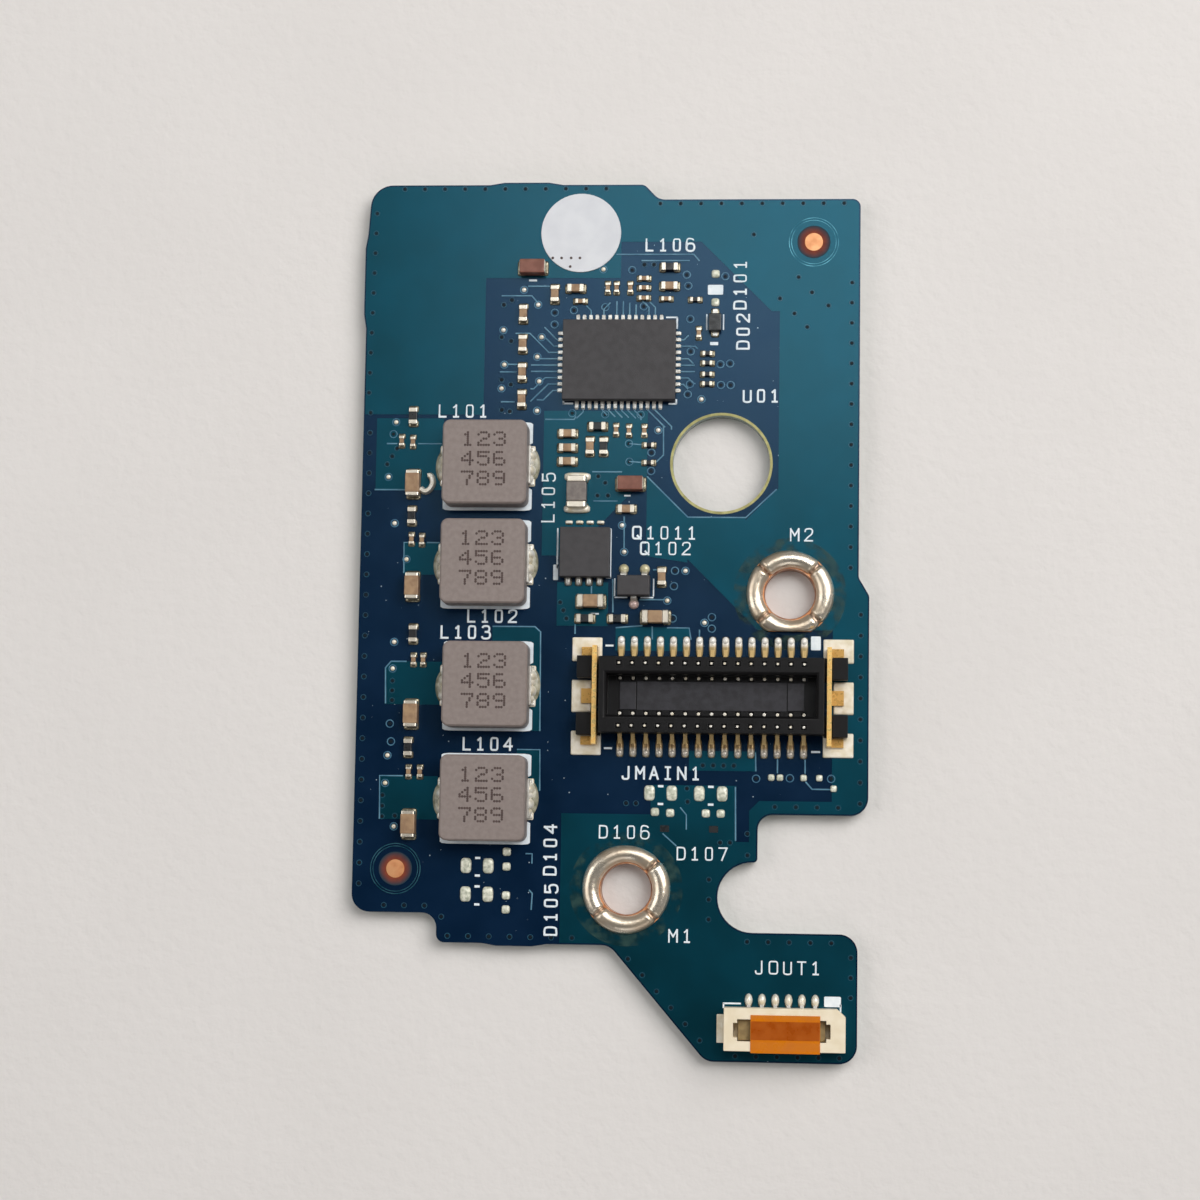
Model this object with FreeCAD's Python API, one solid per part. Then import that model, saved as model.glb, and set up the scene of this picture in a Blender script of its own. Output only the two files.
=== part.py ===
import FreeCAD, Part

import math
import os
from collections import namedtuple

# Laptop audio board, component side up.
# Millimetres. The origin is the middle of the board's box, at its underside. +Y runs along the board.

# Board
board_thickness = 1.0
left_edge_x = -15.65
right_edge_x = 15.8
upper_right_x = 15.15
lower_right_x = 15.2
top_left_x = -15.45
top_edge_y = 26.95
upper_right_y = 26.0
bottom_edge_y = -27.1
lower_middle_y = -20.25
lower_left_y = -18.47
top_step_x = 1.7
top_step_run = 0.9
right_step_y = 2.3
right_step_run = 1.1
lower_left_step_x = -10.4
diagonal_low_x = 6.1
diagonal_high_x = 0.2
outer_corner_radius = 1.1
top_left_corner_radius = 1.4
small_corner_radius = 0.5
step_blend_radius = 0.9

# Edge notch on the right, with a round end
notch_top_y = -12.23
notch_bottom_y = -19.37
notch_wall_x = 9.12
notch_end_width = 4.25
notch_lip_radius = 0.25
notch_lip_run = 0.03

# Remnants of the tabs that held the board in its panel
remnant_height = 0.15
remnant_slope = 0.9
top_remnant_x = -5.7
top_remnant_length = 2.8
left_remnant_y = 20.8
left_remnant_length = 4.2
bottom_remnant_x = -5.6
bottom_remnant_length = 2.2

# Holes
screw_hole_radius = 1.6
screw_land_radius = 2.65
screw_hole_1_x = 1.17
screw_hole_1_y = -16.86
screw_hole_2_x = 10.96
screw_hole_2_y = 1.27
screw_land_flat = 2.32
large_hole_radius = 3.0
large_hole_x = 6.68
large_hole_y = 9.34

# Solder rings round the screw holes
ring_inner_radius = 1.75
ring_outer_radius = 2.55
ring_height = 0.32
ring_crown_width = 0.42
ring_gap_angle = 16.0
ring_segment_count = 4

# Copper and solder lands
land_thickness = 0.04
land_side_margin = 0.05
dot_radius = 0.53
dot_upper_x = 12.27
dot_upper_y = 23.27
dot_lower_x = -12.99
dot_lower_y = -15.82
bare_pad_width = 0.65
bare_pad_length = 0.92
small_pad_side = 0.5
test_dot_radius = 0.2
dot_side_count = 12

# Chip components, from small to large
small_chip_length = 0.6
small_chip_width = 0.3
small_chip_height = 0.26
small_chip_terminal = 0.16
medium_chip_length = 1.0
medium_chip_width = 0.5
medium_chip_height = 0.42
medium_chip_terminal = 0.25
large_chip_length = 1.6
large_chip_width = 0.8
large_chip_height = 0.8
large_chip_terminal = 0.35
bead_length = 2.0
bead_width = 1.25
bead_height = 0.9
bead_terminal = 0.4
terminal_wrap = 0.02
chip_land_toe = 0.16

# Amplifier chip
amplifier_x = 0.27
amplifier_y = 15.68
amplifier_length = 6.6
amplifier_width = 4.9
amplifier_height = 0.9
amplifier_pitch = 0.4
amplifier_long_count = 14
amplifier_short_count = 10
amplifier_lead_width = 0.2
amplifier_lead_thickness = 0.12
amplifier_lead_inside = 0.4
amplifier_lead_outside = 0.5
amplifier_edge_chamfer = 0.05

# Power inductors
inductor_side = 5.2
inductor_height = 2.0
inductor_corner_radius = 0.45
inductor_edge_chamfer = 0.1
inductor_column_x = -7.8
inductor_column_lower_x = -7.52
inductor_y_1 = 9.1
inductor_y_2 = 2.97
inductor_y_3 = -4.56
inductor_y_4 = -11.48
inductor_terminal_width = 2.4
inductor_terminal_thickness = 0.14
inductor_terminal_outside = 0.3
inductor_terminal_inside = 1.1
inductor_terminal_rise = 0.8

# Transistors and diode
lead_thickness = 0.13
lead_exit_height = 0.42
lead_bend_run = 0.2
mosfet_x = -1.7
mosfet_y = 3.68
mosfet_length = 3.0
mosfet_width = 2.8
mosfet_height = 0.85
mosfet_pitch = 0.65
mosfet_row_count = 4
mosfet_lead_width = 0.32
mosfet_lead_reach = 0.55
transistor_x = 1.4
transistor_y = 1.65
transistor_length = 2.0
transistor_width = 1.25
transistor_height = 0.95
transistor_pitch = 1.3
transistor_lead_width = 0.35
transistor_lead_reach = 0.5
diode_x = 6.2
diode_y = 18.15
diode_length = 1.2
diode_width = 0.75
diode_height = 0.6
diode_lead_width = 0.3
diode_lead_reach = 0.25
diode_lead_inside = 0.3
body_edge_chamfer = 0.06
body_standoff = 0.05

# Board-to-board header
header_x = 6.27
header_y = -5.12
header_length = 13.6
header_width = 4.6
header_height = 2.2
header_cavity_length = 12.7
header_cavity_width = 2.5
header_cavity_depth = 1.4
header_cavity_chamfer = 0.15
header_pitch = 0.8
header_row_count = 15
header_standoff = 0.1
contact_thickness = 0.25
contact_strip = 0.15
contact_clearance = 0.03
contact_rise = 0.35
contact_tail_reach = 1.35
contact_foot_length = 0.7
contact_tine_width = 0.2
contact_outer_tine_y = 1.9
contact_inner_tine_y = 1.08
contact_recess = 0.04
contact_land_width = 0.42
hold_down_gap = 0.18
hold_down_thickness = 0.28
hold_down_length = 6.0
hold_down_height = 1.7
hold_down_end_leg = 0.52
hold_down_middle_leg = 0.9
hold_down_foot_reach = 0.75
hold_down_bend_radius = 0.1
ear_reach = 1.45
ear_middle_gap = 0.62
ear_height = 1.0
ear_bridge_height = 0.45
ear_clearance = 0.06
header_land_reach = 1.8
header_land_length = 1.82
header_land_width = 1.45
header_land_y = 2.87
header_middle_land_length = 1.2
header_middle_land_width = 1.95

# Speaker socket
socket_x = 10.68
socket_back_y = -23.8
socket_left = 3.46
socket_right = 3.8
socket_depth = 2.55
socket_height = 1.5
socket_shoulder = 0.5
socket_shoulder_depth = 0.45
socket_cavity_length = 5.3
socket_cavity_width = 1.3
socket_cavity_depth = 1.1
socket_key_length = 5.8
socket_key_width = 0.85
socket_cavity_inset = 1.32
socket_pitch = 0.8
socket_contact_count = 6
socket_contact_width = 0.22
socket_contact_thickness = 0.12
socket_contact_reach = 0.7
socket_contact_foot = 0.3
socket_contact_rise = 0.22
socket_post_height = 0.7
socket_tab_reach = 0.45
socket_tab_width = 1.7
socket_tab_thickness = 0.2
socket_tab_depth = 0.3
tape_length = 4.15
tape_width = 2.25
tape_thickness = 0.05
tape_overhang = 0.1
tape_offset_x = 0.22

# Round paper sticker
sticker_x = -2.23
sticker_y = 23.86
sticker_radius = 2.5
sticker_thickness = 0.1

# Levels worked out from the sizes above
board_top = board_thickness
land_top = board_top + land_thickness

ChipSize = namedtuple("ChipSize", "length width height terminal")
small_chip = ChipSize(small_chip_length, small_chip_width, small_chip_height, small_chip_terminal)
medium_chip = ChipSize(medium_chip_length, medium_chip_width, medium_chip_height, medium_chip_terminal)
large_chip = ChipSize(large_chip_length, large_chip_width, large_chip_height, large_chip_terminal)
bead_chip = ChipSize(bead_length, bead_width, bead_height, bead_terminal)

# A chip stands at x, y and lies along X ("x") or along Y ("y").
small_capacitor_places = [
    (-13.2, 10.65, "y"), (-12.5, 10.6, "y"),
    (-12.45, 4.5, "y"), (-11.8, 4.45, "y"),
    (-12.15, -3.0, "y"), (-11.55, -3.0, "y"),
    (-12.3, -9.9, "y"), (-11.6, -9.9, "y"),
    (-2.2, 19.5, "x"),
    (-0.5, 20.35, "y"), (0.05, 20.35, "y"), (0.9, 20.35, "y"),
    (1.75, 20.95, "x"), (1.75, 20.35, "x"), (1.75, 19.7, "x"),
    (3.15, 19.65, "x"), (5.2, 17.5, "y"),
    (0.15, 11.4, "y"), (0.95, 11.35, "y"), (1.9, 11.35, "y"),
]
small_resistor_places = [
    (4.95, 19.6, "x"),
    (5.75, 16.2, "x"), (5.75, 15.6, "x"), (5.75, 14.9, "x"), (5.75, 14.3, "x"),
    (2.2, 10.45, "x"), (2.2, 9.35, "x"),
]
medium_capacitor_places = [
    (-12.5, 12.2, "y"), (-3.8, 19.95, "y"), (-2.5, 20.3, "x"), (3.35, 20.45, "x"),
    (-5.75, 18.7, "y"), (-5.75, 16.8, "y"), (-5.75, 15.0, "y"), (-5.75, 13.3, "y"),
    (-2.85, 11.15, "x"), (-2.85, 10.25, "x"), (-2.85, 9.4, "x"),
    (-1.45, 10.35, "y"), (0.85, 6.45, "x"), (3.1, 2.25, "y"),
]
medium_resistor_places = [
    (-12.45, 5.95, "y"), (-12.2, -1.4, "y"), (-12.35, -8.4, "y"),
    (3.35, 21.65, "x"), (-1.0, 11.6, "x"), (-0.6, 10.35, "y"),
    (-1.6, -0.35, "x"), (0.4, -0.35, "x"),
]
filter_capacitor_places = [
    (-12.4, 7.95, "y"), (-12.3, 1.55, "y"), (-12.2, -6.35, "y"), (-12.2, -13.1, "y"),
]
bulk_capacitor_places = [
    (-5.2, 21.6, "x"), (1.1, 8.0, "x"), (-1.25, 0.7, "x"), (2.75, -0.25, "x"),
]
bead_place = (-2.2, 7.45, "y")
inductor_places = [
    (inductor_column_x, inductor_y_1), (inductor_column_x, inductor_y_2),
    (inductor_column_lower_x, inductor_y_3), (inductor_column_lower_x, inductor_y_4),
]

# Bare pads stand in two groups of large pads with a row of small ones beside each.
bare_pad_places = [
    (-8.64, -15.57), (-7.27, -15.57), (-8.64, -17.3), (-7.27, -17.3),
    (2.52, -11.0), (3.88, -11.0), (5.56, -11.0), (6.95, -11.0),
]
small_pad_places = [
    (-6.15, -14.7), (-6.15, -15.6), (-6.15, -17.35), (-6.15, -18.2),
    (2.87, -12.15), (3.8, -12.2), (5.97, -12.2), (6.87, -12.2),
    (diode_x, 21.25), (diode_x, 19.45),
]
test_dot_places = [(9.92, -9.97), (10.45, -9.97), (11.88, -9.97), (12.83, -9.97), (13.7, -10.6)]


def vector(x, y, z=0.0):
    return FreeCAD.Vector(x, y, z)


def block(x, y, bottom, size_x, size_y, height):
    """A box centred on x, y that stands on the level bottom."""
    return Part.makeBox(size_x, size_y, height, vector(x - size_x / 2, y - size_y / 2, bottom))


def disc(x, y, bottom, radius, height):
    return Part.makeCylinder(radius, height, vector(x, y, bottom))


def join(solids):
    """One solid from pieces that overlap or share faces."""
    return solids[0].multiFuse(solids[1:]).removeSplitter()


def rounded_face(corners, z):
    """A flat face whose corners (x, y, radius) are rounded by arcs that meet the sides."""
    edges = []
    starts = []
    ends = []
    middles = []
    count = len(corners)
    for i, (x, y, radius) in enumerate(corners):
        here = vector(x, y, z)
        before = vector(*corners[i - 1][:2], z) - here
        after = vector(*corners[(i + 1) % count][:2], z) - here
        half = before.getAngle(after) / 2
        before.normalize()
        after.normalize()
        setback = radius / math.tan(half)
        bisector = before + after
        bisector.normalize()
        starts.append(here + before * setback)
        ends.append(here + after * setback)
        middles.append(here + bisector * (radius / math.sin(half) - radius))
    for i in range(count):
        edges.append(Part.Arc(starts[i], middles[i], ends[i]).toShape())
        following = starts[(i + 1) % count]
        if ends[i].distanceToPoint(following) > 1e-6:
            edges.append(Part.makeLine(ends[i], following))
    return Part.Face(Part.Wire(Part.__sortEdges__(edges)))


def polygon_prism(points, depth):
    """A polygon of vectors pushed along the vector depth."""
    return Part.Face(Part.makePolygon(points + points[:1])).extrude(depth)


def chamfer_top(solid, top, size):
    """Break every edge that lies on the level top."""
    edges = [edge for edge in solid.Edges if all(abs(v.Z - top) < 1e-6 for v in edge.Vertexes)]
    return solid.makeChamfer(size, edges)


def turned(shape, degrees, x=0.0, y=0.0):
    """A copy turned about the upright line through x, y."""
    copy = shape.copy()
    copy.rotate(vector(x, y), vector(0, 0, 1), degrees)
    return copy


def save(name, solids):
    shape = solids[0] if len(solids) == 1 else Part.makeCompound(solids)
    shape.exportStep("parts/" + name + ".step")


def row_offsets(count, pitch):
    """Places along a row that is centred on zero."""
    return [(i - (count - 1) / 2) * pitch for i in range(count)]


def remnant(start, direction, outward, length):
    """Four corners of a low swelling that a snapped tab leaves on an edge."""
    side = vector(*direction)
    out = vector(*outward) * remnant_height
    reach = length / 2 + remnant_slope
    middle = vector(*start)
    points = [
        middle - side * reach,
        middle - side * (length / 2) + out,
        middle + side * (length / 2) + out,
        middle + side * reach,
    ]
    return [(point.x, point.y, small_corner_radius) for point in points]


def board():
    """The board with its routed outline, screw holes and large hole."""
    end_radius = notch_end_width / 2
    notch_end_x = notch_wall_x - notch_lip_radius - notch_lip_run - end_radius
    corners = [(top_left_x, top_edge_y, top_left_corner_radius)]
    corners += remnant((top_remnant_x, top_edge_y), (1, 0), (0, 1), top_remnant_length)
    corners += [
        (top_step_x, top_edge_y, small_corner_radius),
        (top_step_x + top_step_run, upper_right_y, step_blend_radius),
        (upper_right_x, upper_right_y, small_corner_radius),
        (upper_right_x, right_step_y, small_corner_radius),
        (right_edge_x, right_step_y - right_step_run, small_corner_radius),
        (right_edge_x, notch_top_y, outer_corner_radius),
        (notch_wall_x, notch_top_y, step_blend_radius),
        (notch_wall_x, notch_bottom_y + notch_end_width, notch_lip_radius),
        (notch_end_x, notch_bottom_y + notch_end_width, end_radius),
        (notch_end_x, notch_bottom_y, end_radius),
        (lower_right_x, notch_bottom_y, outer_corner_radius),
        (lower_right_x, bottom_edge_y, outer_corner_radius),
        (diagonal_low_x, bottom_edge_y, outer_corner_radius),
        (diagonal_high_x, lower_middle_y, outer_corner_radius),
    ]
    corners += remnant((bottom_remnant_x, lower_middle_y), (-1, 0), (0, -1), bottom_remnant_length)
    corners += [
        (lower_left_step_x, lower_middle_y, small_corner_radius),
        (lower_left_step_x, lower_left_y, step_blend_radius),
        (left_edge_x, lower_left_y, outer_corner_radius),
    ]
    corners += remnant((left_edge_x, left_remnant_y), (0, 1), (-1, 0), left_remnant_length)
    plate = rounded_face(corners, 0).extrude(vector(0, 0, board_thickness))
    holes = [
        disc(screw_hole_1_x, screw_hole_1_y, 0, screw_hole_radius, board_thickness),
        disc(screw_hole_2_x, screw_hole_2_y, 0, screw_hole_radius, board_thickness),
        disc(large_hole_x, large_hole_y, 0, large_hole_radius, board_thickness),
    ]
    return plate.cut(Part.makeCompound(holes))


def screw_land(x, y, flat):
    """The copper land round a screw hole, straight on one side where flat is true."""
    land = disc(x, y, board_top, screw_land_radius, land_thickness)
    if flat:
        beyond = screw_land_radius - screw_land_flat
        land = land.cut(block(x, y - screw_land_flat - beyond / 2, board_top,
                              2 * screw_land_radius, beyond, land_thickness))
    return land.cut(disc(x, y, board_top, screw_hole_radius, land_thickness))


def solder_ring(x, y, flat):
    """Raised solder on a screw-hole land, parted on the diagonals."""
    middle = (ring_inner_radius + ring_outer_radius) / 2
    profile = [
        (ring_outer_radius, 0), (middle + ring_crown_width / 2, ring_height),
        (middle - ring_crown_width / 2, ring_height), (ring_inner_radius, 0),
    ]
    points = [vector(radius, 0, z) for radius, z in profile]
    section = Part.Face(Part.makePolygon(points + points[:1]))
    section.rotate(vector(0, 0), vector(0, 0, 1), ring_gap_angle / 2 - 45)
    step = 360 / ring_segment_count
    segment = section.revolve(vector(0, 0), vector(0, 0, 1), step - ring_gap_angle)
    segments = []
    for i in range(ring_segment_count):
        piece = turned(segment, i * step)
        piece.translate(vector(x, y, land_top))
        segments.append(piece)
    if flat:
        beyond = ring_outer_radius
        cutter = block(x, y - screw_land_flat - beyond / 2, land_top, 4 * beyond, beyond, ring_height)
        segments = [piece.cut(cutter) for piece in segments]
    return segments


def chip(place, size):
    """Body, two end terminals and two lands of a chip component."""
    x, y, along = place

    def piece(offset, length, width, bottom, height):
        if along == "x":
            return block(x + offset, y, bottom, length, width, height)
        return block(x, y + offset, bottom, width, length, height)

    body = piece(0, size.length - 2 * size.terminal, size.width - 2 * terminal_wrap,
                 land_top + terminal_wrap, size.height - 2 * terminal_wrap)
    terminals = []
    lands = []
    for sign in (-1, 1):
        reach = sign * (size.length - size.terminal) / 2
        terminals.append(piece(reach, size.terminal, size.width, land_top, size.height))
        lands.append(piece(reach + sign * chip_land_toe / 2, size.terminal + chip_land_toe,
                           size.width + 2 * land_side_margin, board_top, land_thickness))
    return body, terminals, lands


def chips(places, size):
    """Bodies, terminals and lands of a whole group of chips."""
    bodies = []
    terminals = []
    lands = []
    for place in places:
        body, ends, pads = chip(place, size)
        bodies.append(body)
        terminals += ends
        lands += pads
    return bodies, terminals, lands


def amplifier():
    """The amplifier's moulded body, its four rows of leads and their lands."""
    bottom = land_top + amplifier_lead_thickness
    top = board_top + amplifier_height
    body = block(amplifier_x, amplifier_y, bottom, amplifier_length, amplifier_width, top - bottom)
    body = chamfer_top(body, top, amplifier_edge_chamfer)
    length = amplifier_lead_inside + amplifier_lead_outside
    shift = (amplifier_lead_outside - amplifier_lead_inside) / 2
    rows = [
        (amplifier_long_count, amplifier_width / 2, 0), (amplifier_long_count, amplifier_width / 2, 180),
        (amplifier_short_count, amplifier_length / 2, 90), (amplifier_short_count, amplifier_length / 2, 270),
    ]
    width = amplifier_lead_width
    land_length = length + land_side_margin
    leads = []
    lands = []
    for count, edge, angle in rows:
        for offset in row_offsets(count, amplifier_pitch):
            lead = block(offset, edge + shift, land_top, width, length, amplifier_lead_thickness)
            land = block(offset, edge + shift, board_top, width, land_length, land_thickness)
            for solid, group in ((lead, leads), (land, lands)):
                solid = turned(solid, angle)
                solid.translate(vector(amplifier_x, amplifier_y))
                group.append(solid)
    return body, leads, lands


def inductor(x, y):
    """A moulded inductor on two terminals that fold up its left and right sides."""
    bottom = land_top + inductor_terminal_thickness
    top = board_top + inductor_height
    half = inductor_side / 2
    quarters = ((-1, -1), (1, -1), (1, 1), (-1, 1))
    corners = [(x + i * half, y + j * half, inductor_corner_radius) for i, j in quarters]
    body = rounded_face(corners, bottom).extrude(vector(0, 0, top - bottom))
    body = chamfer_top(body, top, inductor_edge_chamfer)
    terminals = []
    lands = []
    for sign in (-1, 1):
        length = inductor_terminal_inside + inductor_terminal_outside
        middle = x + sign * (half + (inductor_terminal_outside - inductor_terminal_inside) / 2)
        flat = block(middle, y, land_top, length, inductor_terminal_width, inductor_terminal_thickness)
        upright = block(x + sign * (half + inductor_terminal_thickness / 2), y, land_top,
                        inductor_terminal_thickness, inductor_terminal_width, inductor_terminal_rise)
        terminals.append(join([flat, upright]))
        lands.append(block(middle, y, board_top, length + 2 * land_side_margin,
                           inductor_terminal_width + 2 * land_side_margin, land_thickness))
    return body, terminals, lands


def gull_wing(width, edge, reach, exit_height):
    """A bent lead that leaves a body at edge along +Y and ends in a foot on its land."""
    low = land_top
    high = board_top + exit_height
    foot_start = edge + lead_bend_run + lead_thickness
    points = [
        (edge, high), (edge, high + lead_thickness), (edge + lead_thickness, high + lead_thickness),
        (foot_start, low + lead_thickness), (edge + reach, low + lead_thickness),
        (edge + reach, low), (foot_start - lead_thickness, low), (edge + lead_thickness / 2, high),
    ]
    outline = [vector(-width / 2, y, z) for y, z in points]
    lead = polygon_prism(outline, vector(width, 0, 0))
    foot = edge + reach - foot_start + 2 * lead_thickness
    margin = 2 * land_side_margin
    land = block(0, edge + reach - foot / 2, board_top, width + margin, foot + margin, land_thickness)
    return lead, land


def leaded_body(x, y, size_x, size_y, height, rows):
    """A moulded body with gull-wing leads. Each row is (angle, offsets, edge, lead width, reach)."""
    bottom = board_top + body_standoff
    top = board_top + height
    body = chamfer_top(block(x, y, bottom, size_x, size_y, top - bottom), top, body_edge_chamfer)
    leads = []
    lands = []
    for angle, offsets, edge, width, reach in rows:
        lead, land = gull_wing(width, edge, reach, min(lead_exit_height, height / 2))
        for offset in offsets:
            for solid, group in ((lead, leads), (land, lands)):
                solid = solid.copy()
                solid.translate(vector(offset, 0))
                solid = turned(solid, angle)
                solid.translate(vector(x, y))
                group.append(solid)
    return body, leads, lands


def header_contact():
    """A blanked fork contact of the header's upper row, at the header's middle."""
    wall = header_width / 2
    tip = wall + contact_tail_reach
    foot = tip - contact_foot_length
    low = land_top
    strip = board_top + contact_rise
    strip_top = strip + contact_strip
    rail = board_top + header_height - contact_recess
    floor = board_top + header_height - header_cavity_depth - contact_recess
    half = contact_tine_width / 2
    points = [
        (tip, low), (tip, low + contact_strip), (foot, low + contact_strip), (wall, strip_top),
        (contact_outer_tine_y + half, strip_top), (contact_outer_tine_y + half, rail),
        (contact_outer_tine_y - half, rail), (contact_outer_tine_y - half, strip_top),
        (contact_inner_tine_y + half, strip_top), (contact_inner_tine_y + half, floor),
        (contact_inner_tine_y - half, floor), (contact_inner_tine_y - half, strip),
        (wall, strip), (foot, low),
    ]
    outline = [vector(-contact_thickness / 2, y, z) for y, z in points]
    return polygon_prism(outline, vector(contact_thickness, 0, 0))


def header_slot():
    """The room that a contact needs in the housing: a slot below and two shafts for its tines."""
    width = contact_thickness + 2 * contact_clearance
    inner = contact_inner_tine_y - contact_tine_width / 2 - contact_clearance
    strip_top = board_top + contact_rise + contact_strip + contact_clearance
    top = board_top + header_height
    shaft = contact_tine_width + 2 * contact_clearance
    outer = header_width / 2
    slot = block(0, (inner + outer) / 2, board_top, width, outer - inner, strip_top - board_top)
    shafts = [block(0, y, board_top, width, shaft, top - board_top)
              for y in (contact_inner_tine_y, contact_outer_tine_y)]
    return join([slot] + shafts)


def both_rows(solid):
    """Copies of a piece of the header's upper row for both rows, in the header's own frame."""
    upper = []
    for offset in row_offsets(header_row_count, header_pitch):
        copy = solid.copy()
        copy.translate(vector(offset, 0))
        upper.append(copy)
    lower = [turned(copy, 180) for copy in upper]
    return upper, lower


def header_housing():
    """The header's moulded housing, open at the top, with slots for the contacts and four ears."""
    bottom = board_top + header_standoff
    top = board_top + header_height
    floor = top - header_cavity_depth
    body = block(0, 0, bottom, header_length, header_width, top - bottom)
    half_length = header_length / 2
    ear_start = hold_down_middle_leg / 2 + ear_middle_gap
    ear_end = hold_down_length / 2 - hold_down_end_leg - ear_clearance
    ear_y = (ear_start + ear_end) / 2
    ear_width = ear_end - ear_start
    ear_outer = half_length + ear_reach
    post_inner = half_length + hold_down_gap + hold_down_thickness + ear_clearance
    bridge_height = ear_bridge_height - header_standoff
    post_height = ear_height - header_standoff
    pieces = [body]
    for i in (-1, 1):
        bridge_x = i * (half_length + ear_reach / 2)
        post_x = i * (post_inner + ear_outer) / 2
        for y in (-ear_y, ear_y):
            pieces.append(block(bridge_x, y, bottom, ear_reach, ear_width, bridge_height))
            pieces.append(block(post_x, y, bottom, ear_outer - post_inner, ear_width, post_height))
    body = join(pieces)
    cavity = block(0, 0, floor, header_cavity_length, header_cavity_width, header_cavity_depth)
    lip = chamfer_tool(header_cavity_length, header_cavity_width, top, header_cavity_chamfer)
    upper, lower = both_rows(header_slot())
    return body.cut(cavity).cut(lip).cut(Part.makeCompound(upper + lower))


def chamfer_tool(length, width, top, size):
    """A frustum that breaks the upper edge of a rectangular opening."""
    def rectangle(grow, z):
        x = length / 2 + grow
        y = width / 2 + grow
        points = [vector(-x, -y, z), vector(x, -y, z), vector(x, y, z), vector(-x, y, z)]
        return Part.makePolygon(points + points[:1])

    return Part.makeLoft([rectangle(0, top - size), rectangle(size, top)], True, True)


def hold_down():
    """The right-hand metal hold-down: a plate on edge with three legs and outward feet."""
    inner = header_length / 2 + hold_down_gap
    thickness = hold_down_thickness
    plate_bottom = board_top + ear_bridge_height + ear_clearance
    top = board_top + hold_down_height
    plate = block(inner + thickness / 2, 0, plate_bottom, thickness, hold_down_length, top - plate_bottom)
    end_y = (hold_down_length - hold_down_end_leg) / 2
    legs = [(-end_y, hold_down_end_leg), (0, hold_down_middle_leg), (end_y, hold_down_end_leg)]
    pieces = [plate]
    for y, width in legs:
        leg = block(inner + thickness / 2, y, land_top, thickness, width, plate_bottom - land_top)
        foot_length = thickness + hold_down_foot_reach
        foot = block(inner + foot_length / 2, y, land_top, foot_length, width, thickness)
        pieces += [leg, foot]
    solid = join(pieces)
    heel = [edge for edge in solid.Edges
            if all(abs(v.Z - land_top) < 1e-6 and abs(v.X - inner) < 1e-6 for v in edge.Vertexes)]
    return solid.makeFillet(hold_down_bend_radius, heel)


def header_lands():
    """Lands for the header's contacts and hold-downs, in the header's own frame."""
    tail = contact_foot_length + 2 * land_side_margin
    tip = header_width / 2 + contact_tail_reach + land_side_margin
    upper, lower = both_rows(block(0, tip - tail / 2, board_top, contact_land_width, tail, land_thickness))
    outer = header_length / 2 + header_land_reach
    lands = upper + lower
    for i in (-1, 1):
        for y in (-header_land_y, header_land_y):
            lands.append(block(i * (outer - header_land_length / 2), y, board_top, header_land_length,
                               header_land_width, land_thickness))
        middle_x = i * (outer - header_middle_land_length / 2)
        lands.append(block(middle_x, 0, board_top, header_middle_land_length, header_middle_land_width,
                           land_thickness))
    return lands


def placed(solids, x, y):
    """Copies moved to x, y on the board."""
    copies = []
    for solid in solids:
        copy = solid.copy()
        copy.translate(vector(x, y))
        copies.append(copy)
    return copies


def socket_contact():
    """A socket contact: a foot behind the housing, a strip through its wall and a post in the cavity."""
    wall = socket_back_y
    tip = wall + socket_contact_reach
    low = land_top
    strip = board_top + socket_contact_rise
    strip_top = strip + socket_contact_thickness
    foot = tip - socket_contact_foot
    foot_top = low + socket_contact_thickness
    post = socket_back_y - socket_cavity_inset
    post_back = post + socket_contact_thickness
    post_top = strip_top + socket_post_height
    points = [
        (tip, low), (tip, foot_top), (foot, foot_top), (wall, strip_top), (post_back, strip_top),
        (post_back, post_top), (post, post_top), (post, strip), (wall, strip), (foot, low),
    ]
    outline = [vector(-socket_contact_width / 2, y, z) for y, z in points]
    return polygon_prism(outline, vector(socket_contact_width, 0, 0))


def socket():
    """The speaker socket: housing, contacts, left solder tab, pick-up tape and lands."""
    top = board_top + socket_height
    front = socket_back_y - socket_depth
    shoulder_y = socket_back_y - socket_shoulder_depth
    right = socket_x + socket_right
    left = socket_x - socket_left
    points = [
        (left, front), (right, front), (right, shoulder_y),
        (right - socket_shoulder, socket_back_y), (left, socket_back_y),
    ]
    outline = [vector(x, y, board_top) for x, y in points]
    body = polygon_prism(outline, vector(0, 0, socket_height))
    depth = socket_cavity_depth
    floor = top - depth
    middle = socket_back_y - socket_cavity_inset
    cavity = block(socket_x, middle, floor, socket_cavity_length, socket_cavity_width, depth)
    key = block(socket_x, middle, floor, socket_key_length, socket_key_width, depth)
    contact = socket_contact()
    contacts = [placed([contact], socket_x + offset, 0)[0]
                for offset in row_offsets(socket_contact_count, socket_pitch)]
    tab_length = socket_tab_reach + socket_tab_depth
    tab_y = socket_back_y - socket_shoulder_depth - socket_tab_width / 2
    tab_x = left - socket_tab_reach + tab_length / 2
    tab = block(tab_x, tab_y, land_top, tab_length, socket_tab_width, socket_tab_thickness)
    housing = body.cut(cavity).cut(key).cut(Part.makeCompound(contacts + [tab]))
    tape_y = front - tape_overhang + tape_width / 2
    tape = block(socket_x + tape_offset_x, tape_y, top, tape_length, tape_width, tape_thickness)
    land_width = socket_contact_width + 4 * land_side_margin
    land_y = socket_back_y + socket_contact_reach / 2 + land_side_margin
    lands = [block(socket_x + offset, land_y, board_top, land_width, socket_contact_reach, land_thickness)
             for offset in row_offsets(socket_contact_count, socket_pitch)]
    lands.append(block(left - socket_tab_reach / 2, tab_y, board_top, socket_tab_reach, socket_tab_width,
                       land_thickness))
    return housing, contacts, tab, tape, lands


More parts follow.
